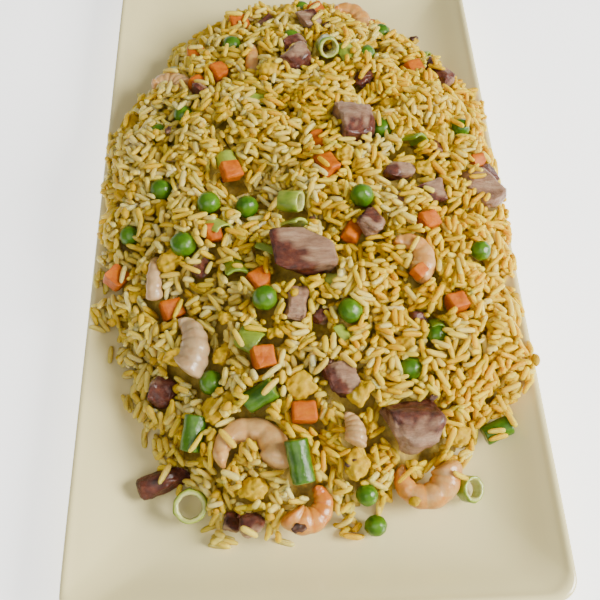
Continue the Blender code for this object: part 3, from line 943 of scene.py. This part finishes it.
def block_bm(place, lengths, heading, tilt, seed):
    """A cut block with softened edges, set at an angle."""
    bm = bmesh.new()
    bmesh.ops.create_cube(bm, size=1.0)
    bmesh.ops.scale(bm, vec=lengths, verts=bm.verts)
    rng = np.random.default_rng(seed)
    for vert in bm.verts:
        vert.co += Vector(rng.uniform(-0.07, 0.07, 3) * min(lengths))
    bmesh.ops.bevel(bm, geom=bm.edges[:], offset=0.07 * min(lengths), segments=1, profile=0.5,
                    affect="EDGES", material=-1)
    bmesh.ops.triangulate(bm, faces=bm.faces)
    turn = Euler((tilt, 0.6 * tilt, heading)).to_matrix()
    bmesh.ops.rotate(bm, matrix=turn, verts=bm.verts)
    bmesh.ops.translate(bm, vec=place, verts=bm.verts)
    return bm


def more_carrot(place, size, heading, seed):
    """A loose die of carrot with a chipped face or two."""
    side = 7.4 * MM * size
    stretch = 1.0 + 0.3 * (seed * 0.61 % 1)
    bm = block_bm(place, (side * stretch, side, 0.85 * side), heading, 0.35, 70 + seed)
    refine(bm, 2)
    chip(bm, seed + 300, 3, 0.7)
    roughen(bm, 2.5 * MM, 0.2 * MM, seed)
    return bm, []


def more_pork(place, size, heading, seed):
    """A small bit of pork, some of them mostly crust."""
    side = 9 * MM * size
    bm = block_bm(place, (1.4 * side, side, 0.6 * side), heading, 0.3, 90 + seed)
    refine(bm, 3)
    crust = pork_skin(bm, 60 + seed, 0.5 if seed % 3 else 0.9)
    return bm, [crust]


def more_egg(place, size, heading, seed):
    """A small flat curd of egg, tipped at random."""
    bm = bmesh.new()
    bmesh.ops.create_icosphere(bm, subdivisions=4, radius=4.3 * MM * size)
    bmesh.ops.scale(bm, vec=(1.15, 0.8, 0.5), verts=bm.verts)
    curd_skin(bm, 20 + seed, size)
    turn = Euler((0.3 * math.sin(seed), 0.3 * math.cos(seed), heading)).to_matrix()
    bmesh.ops.rotate(bm, matrix=turn, verts=bm.verts)
    bmesh.ops.translate(bm, vec=place + Vector((0, 0, 0.3 * MM)), verts=bm.verts)
    return bm, []


def more_scallion(place, size, heading, seed):
    """A slice of scallion or celery: an open, curved strip."""
    radius, length = 4.6 * MM * size, 9 * MM * size
    sweep = math.radians(95 + 70 * (seed * 0.43 % 1))
    bm = bmesh.new()
    outer = radius + SLICE_WALL * size
    corners = [Vector((radius, 0, -length / 2)), Vector((radius, 0, length / 2)),
               Vector((outer, 0, length / 2)), Vector((outer, 0, -length / 2))]
    # Built corner by corner, because an order that changed from run to run would move the grains
    rings = []
    for step in range(SLICE_STEPS + 1):
        turn = Matrix.Rotation(sweep * step / SLICE_STEPS, 3, "Z")
        rings.append([bm.verts.new(turn @ corner) for corner in corners])
    for lower, upper in zip(rings, rings[1:]):
        for i in range(len(corners)):
            bm.faces.new((lower[i - 1], lower[i], upper[i], upper[i - 1]))
    for end in (rings[0], rings[-1]):
        bm.faces.new(end)
    refine(bm, 2)
    soften(bm, 2, 0.4)
    roughen(bm, 3 * MM, 0.35 * MM, seed)
    tones = [min(1.0, max(0.0, 0.15 + 0.6 * (seed * 0.29 % 1) + 0.5 * (math.hypot(vert.co.x, vert.co.y)
                                                                      / radius - 0.8)))
             for vert in bm.verts]
    points = np.array([vert.co for vert in bm.verts])
    bmesh.ops.translate(bm, vec=Vector(-points.mean(0)), verts=bm.verts)
    turn = Euler((math.radians(75 + 25 * math.sin(seed * 1.7)), 0.4 * math.cos(seed * 2.3), heading))
    bmesh.ops.rotate(bm, matrix=turn.to_matrix(), verts=bm.verts)
    bmesh.ops.translate(bm, vec=place + Vector((0, 0, 0.4 * MM)), verts=bm.verts)
    return bm, [tones]


def more_dark(place, size, heading, seed):
    """A flat toasted crumb."""
    bm = bmesh.new()
    bmesh.ops.create_icosphere(bm, subdivisions=3, radius=4 * MM * size)
    bmesh.ops.scale(bm, vec=(1.3, 0.7, 0.35), verts=bm.verts)
    roughen(bm, 1.6 * MM, 0.8 * MM, seed)
    bmesh.ops.rotate(bm, matrix=Matrix.Rotation(heading, 3, "Z"), verts=bm.verts)
    bmesh.ops.translate(bm, vec=place + Vector((0, 0, 0.6 * MM)), verts=bm.verts)
    return bm, []


# ---------------------------------------------------------------- rice grains

def template_of(bm):
    """Points, first corner of each face, and the point at each corner of a small shape."""
    mesh = mesh_from(bm, "template")
    points = np.array([vert.co for vert in mesh.vertices])
    starts = np.array([face.loop_start for face in mesh.polygons])
    corners = np.array([loop.vertex_index for loop in mesh.loops])
    bpy.data.meshes.remove(mesh)
    return points, starts, corners


def grain_template(bend, blunt, taper):
    """A cooked grain one unit long and wide, along X: blunt-ended, slightly bent and tapered."""
    bm = bmesh.new()
    turn = Matrix.Rotation(math.pi / 2, 4, "Y")
    bmesh.ops.create_uvsphere(bm, u_segments=6, v_segments=6, radius=0.5, matrix=turn)
    for vert in bm.verts:
        x, y, z = vert.co
        full = 1.0 + blunt * (2 * x) ** 2
        vert.co = Vector((x, y * full * (1.0 - taper * x),
                          z * full * (1.0 - taper * x) + bend * (x * x - 0.08)))
    return template_of(bm)


def crumb_template(seed):
    """A small torn crumb of egg."""
    bm = bmesh.new()
    bmesh.ops.create_icosphere(bm, subdivisions=2, radius=0.5)
    for vert in bm.verts:
        vert.co *= 1.0 + 0.45 * noise.noise(vert.co * 3.1 + Vector((seed, 2.0, 0)))
    return template_of(bm)


class Grains:
    """Grains dropped one by one: each turns to where it lies lowest and comes to rest there."""

    ALONG = np.linspace(-0.46, 0.46, 9)
    LANES = np.array([-0.7, 0.0, 0.7])
    TRIES = 9

    def __init__(self, relief, seed):
        self.relief = relief
        self.rng = np.random.default_rng(seed)
        self.rows = []

    def drop(self, x, y, length, width, slack, cover, sink):
        """Let one grain settle at a point; returns False if it would stand too high or on a topping."""
        relief = self.relief
        radius = width / 2
        heading = self.rng.uniform(0, 2 * math.pi, self.TRIES)
        cos, sin = np.cos(heading)[:, None, None], np.sin(heading)[:, None, None]
        offsets = self.ALONG * length
        along = offsets[None, :, None]
        lanes = (self.LANES * radius)[None, None, :]
        px = x + along * cos - lanes * sin
        py = y + along * sin + lanes * cos
        cap = np.sqrt(radius ** 2 - lanes ** 2)
        i, j = relief.cell(px, py)
        rest = (relief.top[i, j] + cap).max(2)
        middle = len(offsets) // 2
        fore, aft = offsets[middle + 1:], offsets[:middle]
        rise = rest[:, None, middle + 1:] - rest[:, :middle, None]
        tilt = rise / (fore[None, None, :] - aft[None, :, None])
        held = rest[:, :middle, None] - tilt * aft[None, :, None]
        flat_tilt = tilt.reshape(self.TRIES, -1)
        flat_held = held.reshape(self.TRIES, -1)
        pair = flat_held.argmax(1)
        each = np.arange(self.TRIES)
        slope = np.clip(flat_tilt[each, pair], -1.2, 1.2)
        height = np.maximum(flat_held[each, pair], rest[:, middle])
        covered = relief.taken[i, j].mean((1, 2))
        outside = np.abs(px).max((1, 2)) > CAD_BOX[1].x - 0.4 * MM
        score = height + 1.5 * MM * np.abs(slope) + np.where((covered > cover) | outside, 1.0, 0.0)
        best = int(score.argmin())
        if score[best] > 0.9:
            return False
        lie = height[best] - sink * radius
        i, j = i[best], j[best]
        if lie + radius > relief.goal[i[middle], j[middle]].max() + slack:
            return False
        lean = slope[best] + self.rng.normal(0, 0.08)
        top = lie + lean * along[0] + cap[0]
        relief.top[i, j] = np.maximum(relief.top[i, j], top)
        relief.taken[i, j] = np.where(relief.top[i, j] > top + 0.1 * MM, relief.taken[i, j], 0.0)
        self.rows.append((x, y, lie, heading[best], lean, length, width, self.rng.uniform(0, 2 * math.pi)))
        return True

    def size(self, broken=FIRST_BROKEN):
        """Length and width of the next grain; a share of them is broken."""
        whole = self.rng.uniform() > broken
        length = self.rng.uniform(6.4, 8.6) if whole else self.rng.uniform(3.8, 5.6)
        return length * MM, self.rng.uniform(1.95, 2.4) * MM

    def fill(self, most, gap, slack, sink, broken):
        """Drop grains where the heap is still lower than its surface, until it is full."""
        relief = self.relief
        rng = self.rng
        poor = 0
        while len(self.rows) < most and poor < 6:
            lack = np.where(relief.taken > 0, 0.0, relief.goal - relief.top)
            cells = np.argwhere(lack > gap)
            if len(cells) < 60:
                break
            weight = lack[cells[:, 0], cells[:, 1]] ** 2
            placed = 0
            for i, j in cells[rng.choice(len(cells), 300, p=weight / weight.sum())]:
                x = relief.low[0] + (i + rng.uniform()) * relief.step
                y = relief.low[1] + (j + rng.uniform()) * relief.step
                cover = 0.5 if rng.uniform() < 0.25 + broken / 2 else 0.12
                placed += self.drop(x, y, *self.size(broken), slack, cover, sink)
            poor = poor + 1 if placed < 20 else 0

    def stick(self, count, slack):
        """Drop a few grains on the toppings too."""
        relief = self.relief
        cells = np.argwhere((relief.taken > 0) & (relief.goal > 0))
        for i, j in cells[self.rng.choice(len(cells), count)]:
            x, y = relief.low + (np.array([i, j]) + 0.5) * relief.step
            low = relief.goal[i, j]
            room = relief.top[i, j] - low + 2.6 * MM
            self.drop(x, y, *self.size(), max(slack, min(room, 7 * MM)), STUCK_COVER, 0.3)


def copies(template, rows, tints, name):
    """One mesh of many copies of a small shape, each at its own place."""
    points, starts, corners = template
    rows = np.asarray(rows)
    x, y, z, heading, slope, length, width, roll = rows.T
    lean = np.arctan(slope)
    forward = np.stack([np.cos(heading) * np.cos(lean), np.sin(heading) * np.cos(lean), np.sin(lean)], 1)
    aside = np.stack([-np.sin(heading), np.cos(heading), np.zeros(len(rows))], 1)
    upward = np.cross(forward, aside)
    side = aside * np.cos(roll)[:, None] + upward * np.sin(roll)[:, None]
    over = np.cross(forward, side)
    place = (np.stack([x, y, z], 1)[:, None]
             + points[None, :, 0, None] * (forward * length[:, None])[:, None]
             + points[None, :, 1, None] * (side * width[:, None])[:, None]
             + points[None, :, 2, None] * (over * width[:, None] * 0.9)[:, None])
    count = len(rows)
    mesh = bpy.data.meshes.new(name)
    mesh.vertices.add(count * len(points))
    mesh.vertices.foreach_set("co", place.ravel().astype(np.float32))
    mesh.loops.add(count * len(corners))
    shift = np.arange(count)[:, None]
    mesh.loops.foreach_set("vertex_index", (corners[None] + shift * len(points)).ravel().astype(np.int32))
    mesh.polygons.add(count * len(starts))
    mesh.polygons.foreach_set("loop_start", (starts[None] + shift * len(corners)).ravel().astype(np.int32))
    mesh.update(calc_edges=True)
    paint(mesh, "tint", np.repeat(tints, len(points)))
    return mesh


# ---------------------------------------------------------------- stage

def build_floor(colour):
    """A plain pale floor far larger than the plate."""
    bm = bmesh.new()
    bmesh.ops.create_grid(bm, x_segments=8, y_segments=8, size=FLOOR_SIZE)
    bmesh.ops.translate(bm, vec=(0, 0, CAD_BOX[0].z - 0.2 * MM), verts=bm.verts)
    mesh = mesh_from(bm, "floor")
    material = principled("pale_floor", Roughness=0.9)
    field = noise_field(material, 3.0)
    shade = tuple(channel * 0.99 for channel in colour)
    colour_from(material, ramp(material, field, "Fac", [(0.4, shade), (0.6, colour)]))
    shader_of(material).inputs["Emission Color"].default_value = (1.0, 1.0, 1.0, 1.0)
    shader_of(material).inputs["Emission Strength"].default_value = 1.6
    mesh.materials.append(material)
    floor = bpy.data.objects.new("floor", mesh)
    bpy.context.scene.collection.objects.link(floor)


def add_area_light(name, place, size, energy, colour):
    """A soft square light that faces the middle of the plate."""
    light = bpy.data.lights.new(name, "AREA")
    light.shape = "SQUARE"
    light.size = size
    light.energy = energy
    light.color = colour
    made = bpy.data.objects.new(name, light)
    made.location = place
    made.rotation_euler = (-Vector(place)).to_track_quat("-Z", "Y").to_euler()
    bpy.context.scene.collection.objects.link(made)


# ---------------------------------------------------------------- add-on

class FriedRiceSettings(bpy.types.PropertyGroup):
    """Sizes, amounts and colours of the fried rice plate."""

    porcelain: bpy.props.FloatVectorProperty(
        name="Porcelain", description="Colour of the plate's glaze", subtype="COLOR",
        default=(0.80, 0.71, 0.36))
    core_depth: bpy.props.FloatProperty(
        name="Core depth", description="How far the packed core lies below the heap's surface",
        default=9.0 * MM, unit="LENGTH")
    # Painted shade: the core's colour is the dark of the rice in shade between the grains
    core_shade_colour: bpy.props.FloatVectorProperty(
        name="Core", description="Colour of the rice seen between the grains", subtype="COLOR",
        default=(0.42, 0.28, 0.02))
    grain_limit: bpy.props.IntProperty(
        name="Grains", description="Most loose grains laid on the heap", default=9600)
    grain_gap: bpy.props.FloatProperty(
        name="Grain gap", description="How far below the heap's surface a spot still takes a grain",
        default=0.6 * MM, unit="LENGTH")
    grain_slack: bpy.props.FloatProperty(
        name="Grain slack", description="How far a grain may stand above the heap's surface",
        default=1.8 * MM, unit="LENGTH")
    grain_sink: bpy.props.FloatProperty(
        name="Grain sink", description="Share of its radius by which a grain presses into the others",
        default=0.7)
    clump_size: bpy.props.FloatProperty(
        name="Clump size", description="Width of the clumps of rice", default=15.0 * MM, unit="LENGTH")
    clump_depth: bpy.props.FloatProperty(
        name="Clump depth", description="Depth of the hollows between clumps of rice",
        default=6.5 * MM, unit="LENGTH")
    crust_share: bpy.props.FloatProperty(
        name="Pork crust", description="Share of each pork chunk that is roasted outside", default=0.35)
    floor_colour: bpy.props.FloatVectorProperty(
        name="Floor", description="Colour of the floor", subtype="COLOR", default=(0.92, 0.92, 0.92))
    camera_height: bpy.props.FloatProperty(
        name="Camera height", description="Camera above the table", default=284.7 * MM, unit="LENGTH")
    camera_back: bpy.props.FloatProperty(
        name="Camera back", description="Camera before the middle of the plate", default=194.5 * MM,
        unit="LENGTH")
    camera_side: bpy.props.FloatProperty(
        name="Camera side", description="Camera to the left of the plate's middle", default=7.9 * MM,
        unit="LENGTH")


def need(ready, message):
    """Stop with a clear error when something a step builds on is missing."""
    if not ready:
        raise RuntimeError(message)


def lay_all(pieces, guard):
    """Lay the finished pieces of one kind into the relief."""
    need(pieces, "the frame holds no pieces of this kind")
    for piece in pieces:
        RELIEF.lay(piece, guard)


def found_material(name):
    """The material an earlier step made."""
    need(name in bpy.data.materials, f"{name} is missing: build its pieces first")
    return bpy.data.materials[name]


class FRIEDRICE_OT_plate(bpy.types.Operator):
    """Build the porcelain plate"""

    bl_idname = "fried_rice.plate"
    bl_label = "Plate"

    def execute(self, context):
        plate = build_plate(porcelain_material(settings().porcelain))
        RELIEF.lay(plate, 0.0)
        return {"FINISHED"}


class FRIEDRICE_OT_core(bpy.types.Operator):
    """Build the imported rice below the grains"""

    bl_idname = "fried_rice.core"
    bl_label = "Rice core"

    def execute(self, context):
        need("porcelain_plate" in bpy.data.objects, "build the plate before the rice core")
        RELIEF.read_goal()
        # The core gets the painted shade colour
        core = build_core(core_material(settings().core_shade_colour), settings().core_depth)
        RELIEF.lay(core, 0.0)
        return {"FINISHED"}


class FRIEDRICE_OT_shrimp(bpy.types.Operator):
    """Build the curled shrimp"""

    bl_idname = "fried_rice.shrimp"
    bl_label = "Shrimp"

    def execute(self, context):
        lay_all(build_shrimp(shrimp_material()), SHRIMP_GUARD)
        return {"FINISHED"}


class FRIEDRICE_OT_pork(bpy.types.Operator):
    """Build the roast pork"""

    bl_idname = "fried_rice.pork"
    bl_label = "Pork"

    def execute(self, context):
        lay_all(build_kind("pork", "roast", frame_pork, pork_material(), "crust"), TOPPING_GUARD)
        return {"FINISHED"}


class FRIEDRICE_OT_peas(bpy.types.Operator):
    """Build the peas"""

    bl_idname = "fried_rice.peas"
    bl_label = "Peas"

    def execute(self, context):
        skin = skin_material("pea_skin", (0.035, 0.11, 0.002), (0.08, 0.19, 0.004), (0.2, 0.32, 0.04))
        lay_all(build_kind("pea", "green", frame_pea, skin, "cut"), TOPPING_GUARD)
        return {"FINISHED"}


class FRIEDRICE_OT_beans(bpy.types.Operator):
    """Build the cut green beans"""

    bl_idname = "fried_rice.beans"
    bl_label = "Beans"

    def execute(self, context):
        skin = skin_material("bean_skin", (0.03, 0.095, 0.002), (0.07, 0.17, 0.004), (0.20, 0.28, 0.03),
                             bump=0.0003)
        lay_all(build_kind("bean", "cut", frame_bean, skin, "cut"), TOPPING_GUARD)
        return {"FINISHED"}


class FRIEDRICE_OT_carrots(bpy.types.Operator):
    """Build the diced carrot"""

    bl_idname = "fried_rice.carrots"
    bl_label = "Carrots"

    def execute(self, context):
        lay_all(build_kind("carrot", "diced", frame_carrot, carrot_material()), TOPPING_GUARD)
        return {"FINISHED"}


class FRIEDRICE_OT_egg(bpy.types.Operator):
    """Build the egg curds"""

    bl_idname = "fried_rice.egg"
    bl_label = "Egg"

    def execute(self, context):
        lay_all(build_kind("egg", "curd", frame_egg, egg_material()), TOPPING_GUARD)
        return {"FINISHED"}


class FRIEDRICE_OT_scallion(bpy.types.Operator):
    """Build the scallion rings"""

    bl_idname = "fried_rice.scallion"
    bl_label = "Scallion"

    def execute(self, context):
        lay_all(build_kind("scallion", "sliced", frame_scallion, scallion_material(), "tone"),
                TOPPING_GUARD)
        return {"FINISHED"}


class FRIEDRICE_OT_more_peas(bpy.types.Operator):
    """Build the further peas among the rice"""

    bl_idname = "fried_rice.more_peas"
    bl_label = "Further peas"

    def execute(self, context):
        skin = found_material("pea_skin")
        lay_all([scatter(MORE_PEAS, more_pea, "more_peas", skin, ["cut"])], LOOSE_GUARD)
        return {"FINISHED"}


class FRIEDRICE_OT_more_carrots(bpy.types.Operator):
    """Build the further carrot dice among the rice"""

    bl_idname = "fried_rice.more_carrots"
    bl_label = "Further carrots"

    def execute(self, context):
        skin = found_material("diced_carrot")
        lay_all([scatter(MORE_CARROTS, more_carrot, "more_carrots", skin)], LOOSE_GUARD)
        return {"FINISHED"}


class FRIEDRICE_OT_more_pork(bpy.types.Operator):
    """Build the further bits of pork among the rice"""

    bl_idname = "fried_rice.more_pork"
    bl_label = "Further pork"

    def execute(self, context):
        skin = found_material("roast_pork")
        lay_all([scatter(MORE_PORK, more_pork, "more_pork", skin, ["crust"])], LOOSE_GUARD)
        return {"FINISHED"}


class FRIEDRICE_OT_more_scallion(bpy.types.Operator):
    """Build the further slices among the rice"""

    bl_idname = "fried_rice.more_scallion"
    bl_label = "Further scallion"

    def execute(self, context):
        skin = found_material("scallion_slice")
        slices = scatter(MORE_SCALLION, more_scallion, "more_scallion", skin, ["tone"])
        lay_all([slices], LOOSE_GUARD)
        return {"FINISHED"}


class FRIEDRICE_OT_more_egg(bpy.types.Operator):
    """Build the further egg curds among the rice"""

    bl_idname = "fried_rice.more_egg"
    bl_label = "Further egg"

    def execute(self, context):
        skin = found_material("egg_curd")
        lay_all([scatter(MORE_EGG, more_egg, "more_egg", skin)], LOOSE_GUARD)
        return {"FINISHED"}


class FRIEDRICE_OT_grains(bpy.types.Operator):
    """Lay the loose rice grains and egg crumbs"""

    bl_idname = "fried_rice.grains"
    bl_label = "Rice grains"

    def execute(self, context):
        need("rice_core" in bpy.data.objects, "build the rice core before the grains")
        wanted = settings()
        RELIEF.crease(wanted.clump_size, wanted.clump_depth)
        RELIEF.fringe(FRINGE_SIZE, FRINGE_SIZE)
        grains = Grains(RELIEF, 11)
        grains.fill(wanted.grain_limit, wanted.grain_gap, wanted.grain_slack, wanted.grain_sink,
                    FIRST_BROKEN)
        grains.fill(wanted.grain_limit, 2 * wanted.grain_gap, 2 * wanted.grain_slack, wanted.grain_sink,
                    SECOND_BROKEN)
        grains.stick(STUCK_GRAINS, wanted.grain_slack)
        for x, y in LOOSE_GRAINS:
            grains.drop(x * MM, y * MM, 6.8 * MM, 2.3 * MM, 1.0, 1.0, 0.0)
        laid = np.array(grains.rows)
        rng = np.random.default_rng(5)
        field = np.array([noise.noise(Vector((x, y, 0)) / YOLK_PATCH) for x, y in laid[:, :2]])
        yolk = 0.45 + 0.6 * field + 0.3 * laid[:, 0] / CAD_BOX[1].x
        yolk += rng.normal(0, 0.22, len(laid))
        kind = np.searchsorted(np.quantile(yolk, YOLK_STEPS), yolk)
        crumb = rng.uniform(size=len(laid)) < CRUMB_SHARE
        kind[crumb] = CRUMB_KIND
        tints = np.clip(rng.normal(0.5, 0.24, len(laid)), 0.0, 1.0)
        materials = [
            grain_material("plain_grain", (0.82, 0.64, 0.24), (0.76, 0.55, 0.13), (0.66, 0.43, 0.05)),
            grain_material("cream_grain", (0.82, 0.60, 0.15), (0.75, 0.51, 0.07), (0.66, 0.41, 0.025)),
            grain_material("yellow_grain", (0.81, 0.545, 0.06), (0.74, 0.46, 0.018), (0.65, 0.37, 0.004)),
            grain_material("eggy_grain", (0.80, 0.48, 0.006), (0.73, 0.40, 0.0), (0.64, 0.31, 0.0)),
        ]
        templates = [grain_template(0.5, 0.45, 0.12), grain_template(-0.3, 0.5, 0.25),
                     grain_template(1.0, 0.4, 0.0), grain_template(0.1, 0.6, -0.1)]
        for number, (name, material) in enumerate(zip(("plain", "cream", "yellow", "eggy"), materials)):
            meshes = []
            for index, template in enumerate(templates):
                chosen = np.flatnonzero((kind == number) & (np.arange(len(laid)) % 4 == index))
                if len(chosen):
                    meshes.append(copies(template, laid[chosen], tints[chosen], f"{name}_{index}"))
            finish_piece(join_meshes(meshes, f"rice_grains_{name}"), f"rice_grains_{name}", material)
        chosen = laid[kind == CRUMB_KIND]
        chosen[:, 5] = rng.uniform(2.4, 5.0, len(chosen)) * MM
        chosen[:, 6] = rng.uniform(2.0, 3.4, len(chosen)) * MM
        crumbs = copies(crumb_template(3), chosen, tints[kind == CRUMB_KIND], "egg_crumbs")
        finish_piece(crumbs, "egg_crumbs", found_material("egg_curd"))
        print("grains laid:", len(laid), "of kinds", np.bincount(kind))
        return {"FINISHED"}


class FRIEDRICE_OT_toasted(bpy.types.Operator):
    """Lay the few toasted crumbs on top of the rice"""

    bl_idname = "fried_rice.toasted"
    bl_label = "Toasted crumbs"

    def execute(self, context):
        need("egg_crumbs" in bpy.data.objects, "lay the grains before the toasted crumbs")
        scatter(MORE_DARK, more_dark, "toasted_crumbs", burnt_material())
        return {"FINISHED"}


class FRIEDRICE_OT_stage(bpy.types.Operator):
    """Set the floor, the lights and the camera"""

    bl_idname = "fried_rice.stage"
    bl_label = "Stage"

    def execute(self, context):
        wanted = settings()
        build_floor(wanted.floor_colour)
        world = bpy.data.worlds.new("studio")
        world.use_nodes = True
        back = world.node_tree.nodes["Background"]
        back.inputs["Color"].default_value = (1.0, 0.975, 0.92, 1.0)
        back.inputs["Strength"].default_value = 0.24
        context.scene.world = world
        add_area_light("key", (0.88, -0.27, 0.62), 0.5, 29.0, (1.0, 0.98, 0.93))
        add_area_light("fill", (-0.16, -0.50, 0.70), 0.6, 3.6, (1.0, 0.97, 0.90))
        lens = bpy.data.cameras.new("camera")
        lens.sensor_width = 36.0
        lens.lens = 48.7
        camera = bpy.data.objects.new("camera", lens)
        camera.location = (-wanted.camera_side, -wanted.camera_back, wanted.camera_height)
        camera.rotation_euler = (math.radians(30), 0, math.radians(-2.05))
        lens.clip_start = 0.01
        context.scene.collection.objects.link(camera)
        context.scene.camera = camera
        return {"FINISHED"}


STEPS = (
    FRIEDRICE_OT_plate,
    FRIEDRICE_OT_core,
    FRIEDRICE_OT_shrimp,
    FRIEDRICE_OT_pork,
    FRIEDRICE_OT_peas,
    FRIEDRICE_OT_beans,
    FRIEDRICE_OT_carrots,
    FRIEDRICE_OT_egg,
    FRIEDRICE_OT_scallion,
    FRIEDRICE_OT_more_peas,
    FRIEDRICE_OT_more_carrots,
    FRIEDRICE_OT_more_pork,
    FRIEDRICE_OT_more_scallion,
    FRIEDRICE_OT_more_egg,
    FRIEDRICE_OT_grains,
    FRIEDRICE_OT_toasted,
    FRIEDRICE_OT_stage,
)


class FRIEDRICE_PT_panel(bpy.types.Panel):
    """Sidebar panel that lists the steps"""

    bl_idname = "FRIEDRICE_PT_panel"
    bl_label = "Fried rice plate"
    bl_space_type = "VIEW_3D"
    bl_region_type = "UI"
    bl_category = "Fried rice"

    def draw(self, context):
        for name in FriedRiceSettings.__annotations__:
            self.layout.prop(context.scene.fried_rice, name)
        for step in STEPS:
            self.layout.operator(step.bl_idname)


CLASSES = (FriedRiceSettings, *STEPS, FRIEDRICE_PT_panel)


def register():
    """Register the classes and hang the settings on the scene."""
    for item in CLASSES:
        bpy.utils.register_class(item)
    bpy.types.Scene.fried_rice = bpy.props.PointerProperty(type=FriedRiceSettings)


def unregister():
    """Undo register."""
    del bpy.types.Scene.fried_rice
    for item in reversed(CLASSES):
        bpy.utils.unregister_class(item)


def main():
    """Run every step in order."""
    register()
    bpy.ops.fried_rice.plate()
    bpy.ops.fried_rice.core()
    bpy.ops.fried_rice.shrimp()
    bpy.ops.fried_rice.pork()
    bpy.ops.fried_rice.peas()
    bpy.ops.fried_rice.beans()
    bpy.ops.fried_rice.carrots()
    bpy.ops.fried_rice.egg()
    bpy.ops.fried_rice.scallion()
    bpy.ops.fried_rice.more_peas()
    bpy.ops.fried_rice.more_carrots()
    bpy.ops.fried_rice.more_pork()
    bpy.ops.fried_rice.more_scallion()
    bpy.ops.fried_rice.more_egg()
    bpy.ops.fried_rice.grains()
    bpy.ops.fried_rice.toasted()
    bpy.ops.fried_rice.stage()


if __name__ == "__main__":
    main()
